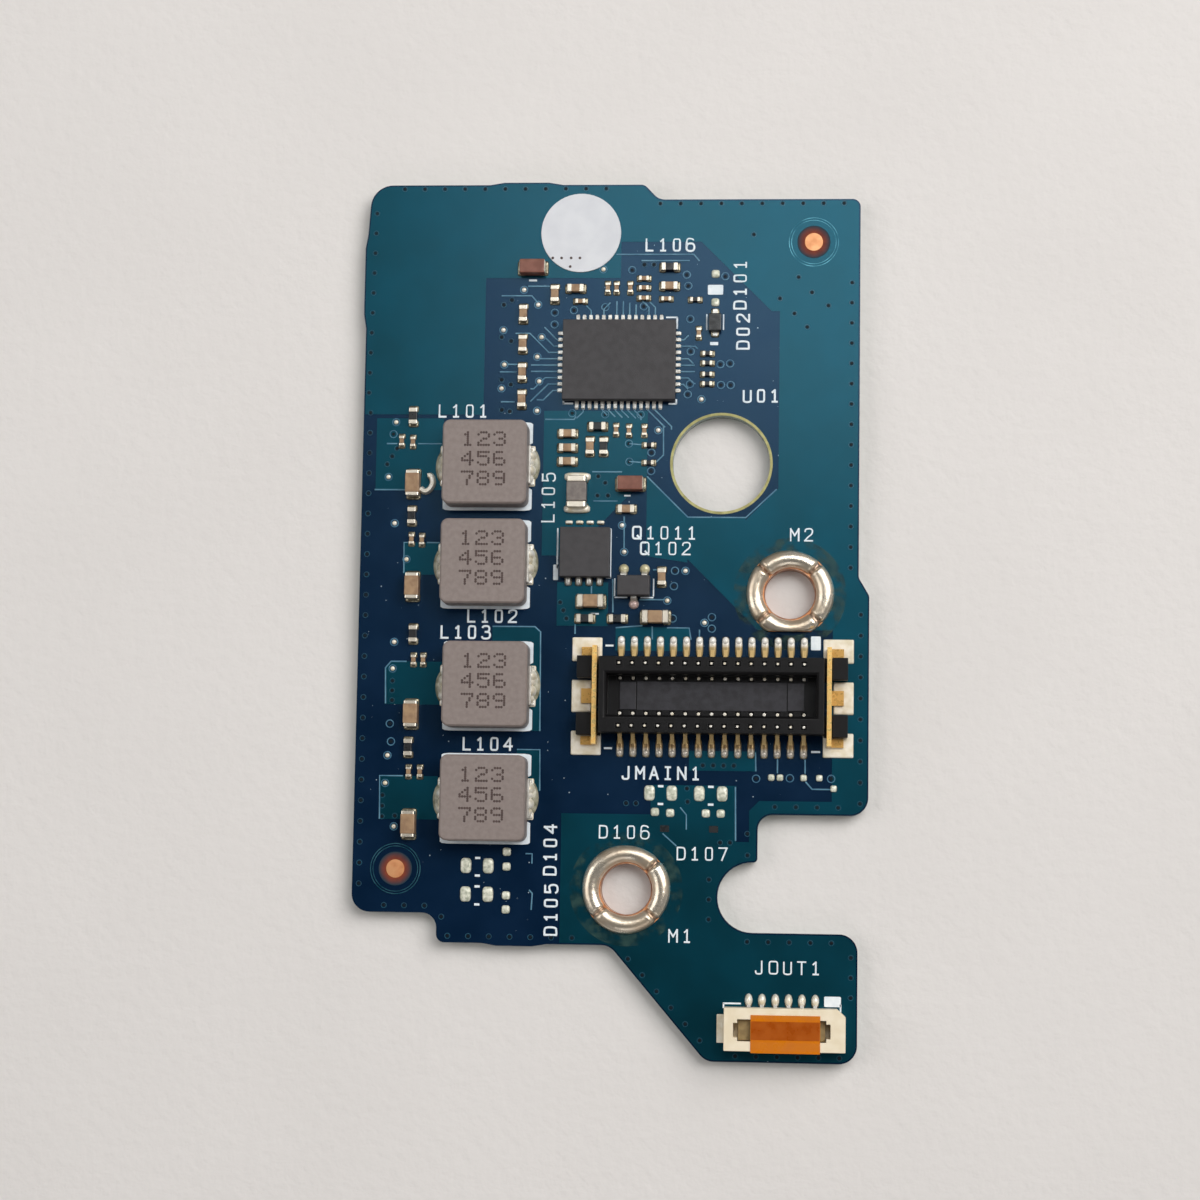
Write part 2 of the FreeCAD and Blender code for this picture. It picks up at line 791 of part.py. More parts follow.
def diode():
    """The diode's body on two flat leads that lie on their lands."""
    bottom = land_top + lead_thickness
    top = board_top + diode_height
    body = chamfer_top(block(diode_x, diode_y, bottom, diode_width, diode_length, top - bottom), top,
                       body_edge_chamfer)
    length = diode_lead_reach + diode_lead_inside
    shift = (diode_length + diode_lead_reach - diode_lead_inside) / 2
    leads = []
    lands = []
    for sign in (-1, 1):
        y = diode_y + sign * shift
        leads.append(block(diode_x, y, land_top, diode_lead_width, length, lead_thickness))
        lands.append(block(diode_x, y, board_top, diode_lead_width + 4 * land_side_margin,
                           length + 2 * land_side_margin, land_thickness))
    return body, leads, lands


def mosfet():
    """The eight-lead power transistor."""
    offsets = row_offsets(mosfet_row_count, mosfet_pitch)
    edge = mosfet_width / 2
    rows = [(angle, offsets, edge, mosfet_lead_width, mosfet_lead_reach) for angle in (0, 180)]
    return leaded_body(mosfet_x, mosfet_y, mosfet_length, mosfet_width, mosfet_height, rows)


def transistor():
    """The three-lead transistor, two leads above and one below."""
    edge = transistor_width / 2
    rows = [
        (0, row_offsets(2, transistor_pitch), edge, transistor_lead_width, transistor_lead_reach),
        (180, [0], edge, transistor_lead_width, transistor_lead_reach),
    ]
    return leaded_body(transistor_x, transistor_y, transistor_length, transistor_width,
                       transistor_height, rows)


def dot(x, y, radius):
    """A small round land as a prism with a few sides."""
    angles = [2 * math.pi * i / dot_side_count for i in range(dot_side_count)]
    rim = [vector(x + radius * math.cos(angle), y + radius * math.sin(angle), board_top) for angle in angles]
    return polygon_prism(rim, vector(0, 0, land_thickness))


def bare_pads():
    """Pads with nothing soldered to them, and round test dots."""
    pads = []
    for x, y in bare_pad_places:
        pads.append(block(x, y, board_top, bare_pad_width, bare_pad_length, land_thickness))
    for x, y in small_pad_places:
        pads.append(block(x, y, board_top, small_pad_side, small_pad_side, land_thickness))
    for x, y in test_dot_places:
        pads.append(dot(x, y, test_dot_radius))
    return pads


def add_chips(nodes, lands, name, places, size):
    """A group of like chips as two nodes, bodies and terminals."""
    bodies, terminals, pads = chips(places, size)
    nodes[name + "_bodies"] = bodies
    nodes[name + "_terminals"] = terminals
    lands += pads


def add_single_chips(nodes, lands, name, places, size):
    """Larger chips, each with a body node and a terminal node of its own."""
    for number, place in enumerate(places, 1):
        body, terminals, pads = chip(place, size)
        nodes[f"{name}_body_{number}"] = [body]
        nodes[f"{name}_terminals_{number}"] = terminals
        lands += pads


def build():
    """Every node of the board by name."""
    nodes = {}
    lands = []
    nodes["circuit_board"] = [board()]
    screw_holes = [(screw_hole_1_x, screw_hole_1_y, False), (screw_hole_2_x, screw_hole_2_y, True)]
    for number, (x, y, flat) in enumerate(screw_holes, 1):
        nodes[f"screw_land_{number}"] = [screw_land(x, y, flat)]
        nodes[f"solder_ring_{number}"] = solder_ring(x, y, flat)
    nodes["fiducial_dots"] = [dot(x, y, dot_radius)
                              for x, y in ((dot_upper_x, dot_upper_y), (dot_lower_x, dot_lower_y))]
    nodes["bare_pads"] = bare_pads()

    leaded = {"amplifier": amplifier, "mosfet": mosfet, "transistor": transistor, "diode": diode}
    for name, maker in leaded.items():
        body, leads, pads = maker()
        nodes[name + "_body"] = [body]
        nodes[name + "_leads"] = leads
        lands += pads
    for number, (x, y) in enumerate(inductor_places, 1):
        body, terminals, pads = inductor(x, y)
        nodes[f"inductor_body_{number}"] = [body]
        nodes[f"inductor_terminals_{number}"] = terminals
        lands += pads

    add_chips(nodes, lands, "small_capacitor", small_capacitor_places, small_chip)
    add_chips(nodes, lands, "small_resistor", small_resistor_places, small_chip)
    add_chips(nodes, lands, "medium_capacitor", medium_capacitor_places, medium_chip)
    add_chips(nodes, lands, "medium_resistor", medium_resistor_places, medium_chip)
    add_single_chips(nodes, lands, "filter_capacitor", filter_capacitor_places, large_chip)
    add_single_chips(nodes, lands, "bulk_capacitor", bulk_capacitor_places, large_chip)
    body, terminals, pads = chip(bead_place, bead_chip)
    nodes["ferrite_bead_body"] = [body]
    nodes["ferrite_bead_terminals"] = terminals
    lands += pads

    upper, lower = both_rows(header_contact())
    right = hold_down()
    nodes["header_housing"] = placed([header_housing()], header_x, header_y)
    nodes["header_contacts_upper"] = placed(upper, header_x, header_y)
    nodes["header_contacts_lower"] = placed(lower, header_x, header_y)
    nodes["header_hold_down_right"] = placed([right], header_x, header_y)
    nodes["header_hold_down_left"] = placed([turned(right, 180)], header_x, header_y)
    lands += placed(header_lands(), header_x, header_y)

    housing, contacts, tab, tape, pads = socket()
    nodes["socket_housing"] = [housing]
    nodes["socket_contacts"] = contacts
    nodes["socket_solder_tab"] = [tab]
    nodes["pick_up_tape"] = [tape]
    lands += pads
    nodes["solder_lands"] = lands
    nodes["round_sticker"] = [disc(sticker_x, sticker_y, board_top, sticker_radius, sticker_thickness)]
    return nodes


os.makedirs("parts", exist_ok=True)
for node_name, node_solids in build().items():
    save(node_name, node_solids)
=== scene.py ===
import logging
import math
from collections.abc import Callable, Iterable
from dataclasses import dataclass, field
from enum import Enum

import bpy
from mathutils import Matrix, Vector


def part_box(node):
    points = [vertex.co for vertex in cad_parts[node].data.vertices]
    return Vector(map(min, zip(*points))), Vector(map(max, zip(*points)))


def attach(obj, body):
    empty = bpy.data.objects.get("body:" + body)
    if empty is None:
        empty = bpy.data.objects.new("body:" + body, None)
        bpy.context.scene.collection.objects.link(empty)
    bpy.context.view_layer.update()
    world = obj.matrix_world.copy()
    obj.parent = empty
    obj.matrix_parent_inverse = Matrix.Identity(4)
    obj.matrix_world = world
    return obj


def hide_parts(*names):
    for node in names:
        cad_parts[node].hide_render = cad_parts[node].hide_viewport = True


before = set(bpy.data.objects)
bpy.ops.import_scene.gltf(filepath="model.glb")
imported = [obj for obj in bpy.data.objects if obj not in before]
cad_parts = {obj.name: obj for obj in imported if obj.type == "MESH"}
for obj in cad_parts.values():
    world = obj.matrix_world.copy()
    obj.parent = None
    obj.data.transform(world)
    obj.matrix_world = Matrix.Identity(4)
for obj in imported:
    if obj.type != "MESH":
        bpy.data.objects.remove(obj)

LOG = logging.getLogger("audio_board")
BODY = "root"
MM = 0.001

Rgb = tuple[int, int, int]
Point = tuple[float, float]
Range = tuple[float, float]
Triple = tuple[float, float, float]
Piece = bpy.types.Object
Socket = bpy.types.NodeSocket

WHOLE: Range = (0.0, 1.0)
PATCH_EDGES: Range = (0.35, 0.65)


def linear(shade: Rgb) -> tuple[float, float, float, float]:
    """Turn an sRGB shade of 0 to 255 into the linear colour that a socket takes.

    Args:
        shade: Red, green and blue as they look on screen.

    Returns:
        Linear red, green and blue with full alpha.
    """
    channels = [value / 255 for value in shade]
    return (*[c / 12.92 if c <= 0.04045 else ((c + 0.055) / 1.055) ** 2.4 for c in channels], 1.0)


class Graph:
    """A material's node tree, with short ways to add patterns and wire them to the shader."""

    def __init__(self, name: str) -> None:
        """Start a material that reads Object coordinates.

        Args:
            name: The material's name.
        """
        self.material = bpy.data.materials.new(name)
        self.material.use_nodes = True
        self.tree = self.material.node_tree
        self.shader = self.tree.nodes["Principled BSDF"]
        self.place = self.tree.nodes.new("ShaderNodeTexCoord").outputs["Object"]

    def node(self, kind: str, inputs: dict, **settings: object) -> bpy.types.Node:
        """Add a node.

        Args:
            kind: Blender's name for the node's type.
            inputs: Values or sockets by input name or number.
            settings: The node's own options.

        Returns:
            The new node.
        """
        node = self.tree.nodes.new(kind)
        for key, value in settings.items():
            setattr(node, key, value)
        for key, value in inputs.items():
            if isinstance(value, bpy.types.NodeSocket):
                self.tree.links.new(value, node.inputs[key])
            else:
                node.inputs[key].default_value = value
        return node

    def noise(self, size: float, detail: float = 2.0) -> Socket:
        """Add soft patches.

        Args:
            size: How far apart the patches are, in millimetres.
            detail: How much finer noise lies on top.

        Returns:
            A share from 0 to 1.
        """
        inputs = {"Vector": self.place, "Scale": 1 / (size * MM), "Detail": detail}
        return self.node("ShaderNodeTexNoise", inputs).outputs[0]

    def spread(self, share: Socket, start: Range, end: Range) -> Socket:
        """Map a range of a value onto another range, and hold it there.

        Args:
            share: The value.
            start: The range that is read.
            end: The range that it becomes.

        Returns:
            The mapped value.
        """
        inputs = {0: share, 1: start[0], 2: start[1], 3: end[0], 4: end[1]}
        return self.node("ShaderNodeMapRange", inputs).outputs[0]

    def mix(self, share: Socket, low: Socket | Rgb, high: Socket | Rgb) -> Socket:
        """Mix two colours.

        Args:
            share: How much of the second colour shows.
            low: The first colour, as a shade or a socket.
            high: The second colour.

        Returns:
            The mixed colour.
        """
        low, high = (c if isinstance(c, bpy.types.NodeSocket) else linear(c) for c in (low, high))
        return self.node("ShaderNodeMix", {0: share, 6: low, 7: high}, data_type="RGBA").outputs[2]

    def along(self, axis: int) -> Socket:
        """Read a point's place along an axis, in metres."""
        return self.node("ShaderNodeSeparateXYZ", {0: self.place}).outputs[axis]

    def upward(self) -> Socket:
        """Read how far a face looks up, 1 for a top and 0 for a wall."""
        normal = self.tree.nodes.new("ShaderNodeNewGeometry").outputs["Normal"]
        return self.node("ShaderNodeSeparateXYZ", {0: normal}).outputs[2]

    def bump(self, share: Socket, depth: float) -> Socket:
        """Turn a pattern into a relief.

        Args:
            share: The pattern.
            depth: The relief's depth in millimetres.

        Returns:
            The bent normal.
        """
        inputs = {"Height": share, "Distance": depth * MM, "Strength": 1.0}
        return self.node("ShaderNodeBump", inputs).outputs[0]

    def wire(self, **sockets: Socket | float) -> None:
        """Feed the shader.

        Args:
            sockets: Values or sockets by the shader's input, with _ for a space.
        """
        for key, value in sockets.items():
            target = self.shader.inputs[key.replace("_", " ")]
            if isinstance(value, bpy.types.NodeSocket):
                self.tree.links.new(value, target)
            else:
                target.default_value = value


@dataclass(frozen=True)
class Finish:
    """A surface with two shades in soft patches, gloss that follows them and a fine grain.

    Sizes are in millimetres, shades are sRGB from 0 to 255, and gloss is a range of roughness.
    """

    name: str
    slot: str
    shade: Rgb
    patch_shade: Rgb
    patch: float = 1.2
    metallic: float = 0.0
    gloss: Range = (0.4, 0.55)
    grain: float = 0.06
    depth: float = 0.003
    specular: float = 0.5
    tint: Rgb = (255, 255, 255)
    coat: float = 0.0
    coat_gloss: float = 0.2

    def material(self) -> bpy.types.Material:
        """Give the finish's material, made the first time it is asked for.

        Returns:
            The material.
        """
        known = bpy.data.materials.get(self.name)
        if known:
            return known
        graph = Graph(self.name)
        patches = graph.spread(graph.noise(self.patch), PATCH_EDGES, WHOLE)
        graph.wire(
            Base_Color=self.colour(graph, patches),
            Roughness=graph.spread(patches, WHOLE, self.gloss),
            Normal=graph.bump(graph.noise(self.grain, 4.0), self.depth),
            Metallic=self.metallic,
            Specular_IOR_Level=self.specular,
            Specular_Tint=linear(self.tint),
            Coat_Weight=self.coat,
            Coat_Roughness=self.coat_gloss,
        )
        self.extra(graph)
        return graph.material

    def colour(self, graph: Graph, patches: Socket) -> Socket:
        """Mix the finish's colours.

        Args:
            graph: The material's nodes.
            patches: The share of the second shade.

        Returns:
            The colour.
        """
        return graph.mix(patches, self.shade, self.patch_shade)

    def extra(self, graph: Graph) -> None:
        """Add nothing more, in the plain finish."""


@dataclass(frozen=True)
class BoardFinish(Finish):
    """Solder mask on a laminate: bare laminate on the walls, the same colour on the rounded upper edges as a painted
    highlight, and specks of dust on the top.
    """

    # Laminate colour: real on the bare walls, a painted highlight on the rounded upper edges.
    laminate: Rgb = (128, 142, 130)
    dust: Rgb = (196, 214, 226)
    dust_spacing: float = 0.34
    dust_sizes: Range = (-0.3, 0.12)
    dust_cover: float = 0.7
    wall_and_rim_highlight_slopes: Range = (0.93, 0.98)

    def colour(self, graph: Graph, patches: Socket) -> Socket:
        """Mix mask, dust and laminate, the laminate also standing as a painted highlight on the rounded upper edges.

        Args:
            graph: The material's nodes.
            patches: The share of the mask's second shade.

        Returns:
            The colour.
        """
        mask = graph.mix(patches, self.shade, self.patch_shade)
        cells = graph.node("ShaderNodeTexVoronoi", {"Vector": graph.place, "Scale": 1 / (self.dust_spacing * MM)})
        chosen = graph.node("ShaderNodeSeparateXYZ", {0: cells.outputs["Color"]}).outputs[0]
        grain = graph.spread(chosen, WHOLE, self.dust_sizes)
        speck = graph.node("ShaderNodeMath", {0: cells.outputs["Distance"], 1: grain}, operation="LESS_THAN")
        faint = graph.spread(speck.outputs[0], WHOLE, (0.0, self.dust_cover))
        dusty = graph.mix(faint, mask, self.dust)
        # Faces tilted from upright take the laminate colour: real on the walls, a painted highlight on the rounded
        # edges.
        top = graph.spread(graph.upward(), self.wall_and_rim_highlight_slopes, WHOLE)
        return graph.mix(top, self.laminate, dusty)


@dataclass(frozen=True)
class FadingFinish(Finish):
    """A finish that fades into another shade at its foot, between two places along an axis in millimetres."""

    foot: Rgb = (150, 96, 62)
    foot_range: Range = (1.05, 1.3)
    axis: int = 2

    def colour(self, graph: Graph, patches: Socket) -> Socket:
        """Mix the finish with its foot.

        Args:
            graph: The material's nodes.
            patches: The share of the metal's second shade.

        Returns:
            The colour.
        """
        head = graph.mix(patches, self.shade, self.patch_shade)
        low, high = self.foot_range
        share = graph.spread(graph.along(self.axis), (low * MM, high * MM), WHOLE)
        return graph.mix(share, self.foot, head)


@dataclass(frozen=True)
class StainedFinish(Finish):
    """A finish that is stained where the piece's own attribute says so."""

    stain: Rgb = (122, 70, 34)
    attribute: str = "stained"

    def colour(self, graph: Graph, patches: Socket) -> Socket:
        """Mix the two shades with the stain.

        Args:
            graph: The material's nodes.
            patches: The share of the second shade.

        Returns:
            The colour.
        """
        clean = graph.mix(patches, self.shade, self.patch_shade)
        stained = graph.node("ShaderNodeAttribute", {}, attribute_name=self.attribute).outputs["Fac"]
        return graph.mix(stained, clean, self.stain)


@dataclass(frozen=True)
class FilmFinish(Finish):
    """A thin film that lets some of what lies beneath it show."""

    alpha: float = 0.72

    def extra(self, graph: Graph) -> None:
        """Let light through."""
        graph.wire(Alpha=self.alpha)


@dataclass(frozen=True)
class BlotFinish(Finish):
    """A stain that comes and goes in blots of a given size."""

    blot: float = 0.7
    blot_edges: Range = (0.42, 0.62)
    cover: float = 0.5

    def extra(self, graph: Graph) -> None:
        """Fade the stain out between the blots."""
        graph.wire(Alpha=graph.spread(graph.noise(self.blot), self.blot_edges, (0.0, self.cover)))


class Surface(Enum):
    """Every finish on the board."""

    BASE = BoardFinish("mask_over_laminate", "solder_mask", (4, 25, 49), (6, 29, 55), 3.0, 0.0, (0.2, 0.24),
                       specular=0.6, tint=(160, 214, 255))
    POUR = Finish("mask_over_copper", "solder_mask", (0, 68, 84), (0, 73, 91), 4.0, 0.88, (0.33, 0.37), coat=0.26)
    # Lighter than the pours: partly the copper under the mask, partly a painted highlight along each line.
    TRACK = Finish("mask_over_track_and_highlight", "solder_mask", (104, 148, 170), (74, 120, 146), 0.8, 0.0, (0.25, 0.35))
    RING = Finish("mask_over_via", "solder_mask", (92, 138, 162), (58, 104, 132), 0.5, 0.0, (0.25, 0.35))
    STITCH = Finish("mask_over_stitch", "solder_mask", (44, 92, 112), (20, 58, 78), 0.4, 0.0, (0.25, 0.35))
    HALO = Finish("mask_over_halo", "solder_mask", (92, 156, 172), (10, 84, 102), 0.9, 0.88, (0.3, 0.36), coat=0.26)
    # Dark disc over each via: painted shade of the via's tented hole.
    PIT = Finish("via_hole_shade", "solder_mask", (2, 15, 24), (3, 20, 30), 0.4, 0.0, (0.4, 0.5), specular=0.2)
    STAIN = BlotFinish("flux_stain", "solder_mask", (14, 54, 58), (48, 84, 76), 0.6, 0.0, (0.25, 0.5))
    BARE = Finish("bare_laminate", "solder_mask", (184, 178, 118), (154, 148, 92), 0.5, 0.0, (0.5, 0.65))
    SCORCH = StainedFinish("browned_mask", "copper", (148, 64, 32), (124, 54, 32), 0.5, 0.0, (0.5, 0.6),
                           specular=0.1, stain=(30, 58, 70))
    COPPER = Finish("bare_copper", "copper", (232, 168, 118), (212, 142, 94), 0.6, 0.55, (0.38, 0.5))
    INK = Finish("legend_ink", "sticker_white", (236, 243, 247), (220, 230, 237), 0.4, 0.0, (0.55, 0.7),
                 grain=0.05, depth=0.004)
    SOLDER = Finish("bright_solder", "solder", (248, 244, 234), (228, 216, 190), 0.5, 0.3, (0.28, 0.4))
    MATT = Finish("bare_pad_solder", "solder", (238, 237, 220), (176, 180, 160), 0.22, 0.2, (0.32, 0.46),
                  grain=0.1, depth=0.01)
    CREAM = Finish("dull_solder", "solder", (246, 239, 224), (224, 212, 184), 0.6, 0.1, (0.4, 0.55),
                   grain=0.1, depth=0.012)
    # Shiny solder with its colour darkened to paint the dark surroundings it reflects.
    WET = Finish("solder_with_painted_dark_reflection", "solder", (150, 144, 124), (98, 90, 74), 0.25, 0.8, (0.22, 0.36))
    TONGUE = FadingFinish("tail_solder", "solder", (253, 251, 246), (240, 236, 226), 0.3, 0.1, (0.3, 0.42),
                          foot=(176, 152, 104), foot_range=(-2.1, -1.8), axis=1)
    DULL = FadingFinish("dull_tail_solder", "solder", (168, 140, 94), (122, 96, 62), 0.2, 0.45, (0.28, 0.4),
                        foot=(198, 190, 178), foot_range=(-8.45, -8.2), axis=1)
    DOUGHNUT = StainedFinish("ring_solder", "solder", (242, 231, 213), (212, 194, 170), 1.4, 0.85, (0.24, 0.36),
                             grain=0.3, depth=0.016)
    LIP = Finish("tinned_copper", "copper", (186, 146, 120), (142, 94, 72), 0.4, 0.6, (0.35, 0.5))
    FLUX = Finish("clear_flux", "solder", (118, 116, 96), (176, 172, 152), 0.4, 0.0, (0.14, 0.24))
    OLIVE = Finish("olive_solder", "solder", (214, 206, 172), (184, 176, 136), 0.3, 0.2, (0.3, 0.42))
    PINK = Finish("pink_solder", "solder", (206, 184, 178), (176, 148, 142), 0.25, 0.3, (0.3, 0.42))
    TIN = Finish("tinned_lead", "tinned_leads", (222, 220, 214), (188, 184, 176), 0.4, 0.7, (0.3, 0.42))
    GOLD = FadingFinish("gold_flash", "contact_gold", (255, 218, 140), (246, 194, 108), 0.3, 0.35, (0.24, 0.36),
                        foot=(212, 166, 90), foot_range=(1.4, 2.1))
    CONTACT = FadingFinish("contact_metal", "contact_gold", (26, 25, 26), (20, 19, 21), 0.4, 0.0, (0.42, 0.55),
                           foot=(198, 168, 112), foot_range=(1.54, 1.6))
    TERMINAL = Finish("chip_terminal", "chip_terminal", (206, 193, 166), (164, 146, 116), 0.3, 0.55, (0.35, 0.5))
    EPOXY = Finish("moulded_epoxy", "chip_black", (58, 56, 58), (54, 52, 54), 0.5, 0.0, (0.5, 0.62),
                   grain=0.06, depth=0.006)
    POWDER = Finish("moulded_powder", "inductor_grey", (139, 127, 122), (131, 119, 114), 0.3, 0.0, (0.42, 0.5),
                    grain=0.05, depth=0.008)
    MARK = Finish("burnt_mark", "inductor_grey", (66, 52, 50), (84, 68, 64), 0.2, 0.0, (0.7, 0.8))
    TAN = Finish("tan_ceramic", "ceramic_tan", (166, 136, 104), (142, 112, 84), 0.4, 0.0, (0.35, 0.5))
    BROWN = Finish("brown_ceramic", "ceramic_brown", (132, 84, 68), (116, 70, 56), 0.5, 0.0, (0.35, 0.5))
    GLAZE = Finish("black_glaze", "resistor_black", (34, 36, 38), (24, 25, 27), 0.3, 0.0, (0.25, 0.4))
    FERRITE = Finish("grey_ferrite", "ferrite_grey", (126, 118, 112), (108, 100, 96), 0.3, 0.0, (0.5, 0.6))
    BLACK = Finish("header_plastic", "header_black", (13, 12, 13), (9, 8, 10), 0.6, 0.0, (0.36, 0.48),
                   grain=0.08, depth=0.004, specular=0.25)
    CAVITY = Finish("cavity_plastic", "header_black", (52, 51, 56), (40, 39, 43), 0.5, 0.0, (0.4, 0.5),
                    grain=0.08, depth=0.006, specular=0.35)
    # Darker ivory for a raised floor in the socket's hollow: painted shade inside the hollow.
    HOLLOW = Finish("ivory_painted_hollow_shade", "socket_ivory", (158, 134, 88), (132, 108, 66), 0.4, 0.0, (0.5, 0.6))
    IVORY = Finish("ivory_plastic", "socket_ivory", (242, 229, 203), (233, 218, 188), 0.8, 0.0, (0.42, 0.55))
    TAPE = FilmFinish("amber_film", "tape_amber", (236, 134, 4), (228, 126, 3), 0.9, 0.0, (0.25, 0.35),
                      grain=0.3, depth=0.006)
    # Darker amber band over the tape: painted shade of the socket's hollow seen through the film.
    BAND = FilmFinish("amber_film_painted_hollow_shade", "tape_amber", (172, 76, 2), (186, 90, 3), 0.6, 0.0, (0.25, 0.35))
    PAPER = Finish("sticker_paper", "sticker_white", (219, 221, 225), (212, 214, 219), 1.2, 0.0, (0.6, 0.75),
                   grain=0.1, depth=0.005)


@dataclass(frozen=True)
class Box:
    """The box of one solid, in millimetres."""

    low: Vector
    high: Vector

    @property
    def middle(self) -> Vector:
        """The box's middle."""
        return (self.low + self.high) / 2

    @property
    def size(self) -> Vector:
        """The box's three sides."""
        return self.high - self.low


def node_box(node: str) -> Box:
    """Give a CAD node's box in millimetres."""
    low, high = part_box(node)
    return Box(low / MM, high / MM)


def solids(node: str) -> list[Box]:
    """Find the separate solids of a CAD node, whose mesh is loose triangles.

    Args:
        node: The node's name.

    Returns:
        One box for each solid, in millimetres.
    """
    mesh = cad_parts[node].data
    places = [tuple(round(c / MM, 4) for c in vertex.co) for vertex in mesh.vertices]
    leader = {place: place for place in places}

    def first(place: Triple) -> Triple:
        """Follow the leaders to the group's first corner.

        Args:
            place: A corner of the group.

        Returns:
            The corner that stands for the group.
        """
        while leader[place] != place:
            leader[place] = leader[leader[place]]
            place = leader[place]
        return place

    for face in mesh.polygons:
        start, *others = (first(places[i]) for i in face.vertices)
        for other in others:
            leader[first(other)] = first(start)
    groups: dict[Triple, list[Triple]] = {}
    for place in leader:
        groups.setdefault(first(place), []).append(place)
    return [
        Box(Vector(map(min, zip(*group))), Vector(map(max, zip(*group))))
        for group in groups.values()
    ]


BOARD_TOP = node_box("circuit_board").high.z


def spot(x: float, y: float, z: float = BOARD_TOP, turn: float = 0.0, size: Iterable[float] = (1, 1, 1)) -> Matrix:
    """Make the matrix that sets a master down on the board.

    Args:
        x: Place across the board in millimetres.
        y: Place along the board in millimetres.
        z: Height above the row's ground in millimetres.
        turn: Turn about the upright in degrees.
        size: Scale of the master along its own axes, in millimetres for a unit master.

    Returns:
        The matrix, in metres.
    """
    scale = Matrix.Diagonal((*[s * MM for s in size], 1.0))
    return Matrix.Translation(Vector((x, y, z)) * MM) @ Matrix.Rotation(math.radians(turn), 4, "Z") @ scale


class Bench:
    """The modelling operators, used on one piece at a time."""

    @staticmethod
    def select(*pieces: Piece) -> None:
        """Select these pieces alone, with the first one active.

        Args:
            pieces: The pieces to work on.
        """
        bpy.ops.object.select_all(action="DESELECT")
        for piece in pieces:
            piece.select_set(True)
        bpy.context.view_layer.objects.active = pieces[0]

    @staticmethod
    def active() -> Piece:
        """Give the piece that the last operator made or changed."""
        return bpy.context.view_layer.objects.active

    @staticmethod
    def pick_faces(piece: Piece, test: Callable[[bpy.types.MeshPolygon], bool]) -> None:
        """Go into edit mode with some faces selected.

        Args:
            piece: The mesh to edit.
            test: Says of a face whether it is wanted.
        """
        mesh = piece.data
        mesh.vertices.foreach_set("select", [False] * len(mesh.vertices))
        mesh.edges.foreach_set("select", [False] * len(mesh.edges))
        mesh.polygons.foreach_set("select", [test(face) for face in mesh.polygons])
        Bench.select(piece)
        bpy.context.tool_settings.mesh_select_mode = (False, False, True)
        bpy.ops.object.mode_set(mode="EDIT")

    @staticmethod
    def pick_edges(piece: Piece, test: Callable[[Vector, Vector], bool]) -> None:
        """Go into edit mode with some edges selected.

        Args:
            piece: The mesh to edit.
            test: Says of an edge's two ends whether it is wanted.
        """
        mesh = piece.data
        ends = [[mesh.vertices[i].co for i in edge.vertices] for edge in mesh.edges]
        mesh.vertices.foreach_set("select", [False] * len(mesh.vertices))
        mesh.polygons.foreach_set("select", [False] * len(mesh.polygons))
        mesh.edges.foreach_set("select", [test(a, b) for a, b in ends])
        Bench.select(piece)
        bpy.context.tool_settings.mesh_select_mode = (False, True, False)
        bpy.ops.object.mode_set(mode="EDIT")

    @staticmethod
    def pick_all(piece: Piece) -> None:
        """Go into edit mode with everything selected.

        Args:
            piece: The mesh to edit.
        """
        Bench.select(piece)
        bpy.ops.object.mode_set(mode="EDIT")
        bpy.ops.mesh.select_all(action="SELECT")

    @staticmethod
    def done() -> None:
        """Leave edit mode."""
        bpy.ops.object.mode_set(mode="OBJECT")

    @staticmethod
    def apply(piece: Piece, kind: str, **settings: object) -> None:
        """Add a modifier and apply it.

        Args:
            piece: The mesh to change.
            kind: The modifier's type.
            settings: The modifier's options.
        """
        Bench.select(piece)
        modifier = piece.modifiers.new(kind.lower(), kind)
        for key, value in settings.items():
            setattr(modifier, key, value)
        bpy.ops.object.modifier_apply(modifier=modifier.name)

    @staticmethod
    def smooth(piece: Piece, degrees: float = 50.0) -> None:
        """Shade a piece smooth up to an angle between its faces."""
        Bench.select(piece)
        bpy.ops.object.shade_smooth_by_angle(angle=math.radians(degrees))

    @staticmethod
    def join(pieces: list[Piece]) -> Piece:
        """Join pieces into the first one.

        Args:
            pieces: The pieces to join.

        Returns:
            The joined piece.
        """
        Bench.select(*pieces)
        if len(pieces) > 1:
            bpy.ops.object.join()
        return pieces[0]

    @staticmethod
    def copies(master: Piece, places: Iterable[Matrix]) -> Piece:
        """Set copies of a master down and join them. The master goes.

        Args:
            master: A piece modelled at the origin.
            places: Where the copies stand.

        Returns:
            The joined copies.
        """
        made = []
        for place in places:
            twin = master.copy()
            twin.data = master.data.copy()
            twin.data.transform(place)
            bpy.context.scene.collection.objects.link(twin)
            made.append(twin)
        bpy.data.objects.remove(master)
        return Bench.join(made)


def hand_over(piece: Piece, name: str, surface: Surface, replaced: Iterable[str] = ()) -> Piece:
    """Finish a new piece: name it, paint it and let it ride on the board.

    Args:
        piece: The finished mesh.
        name: Its name.
        surface: Its finish.
        replaced: The CAD nodes that it stands for.

    Returns:
        The same piece.
    """
    piece.name = name
    piece.data.name = name
    piece.data.materials.clear()
    piece.data.materials.append(surface.value.material())
    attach(piece, BODY)
    for node in replaced:
        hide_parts(node)
    LOG.info("%s: %d faces", name, len(piece.data.polygons))
    return piece


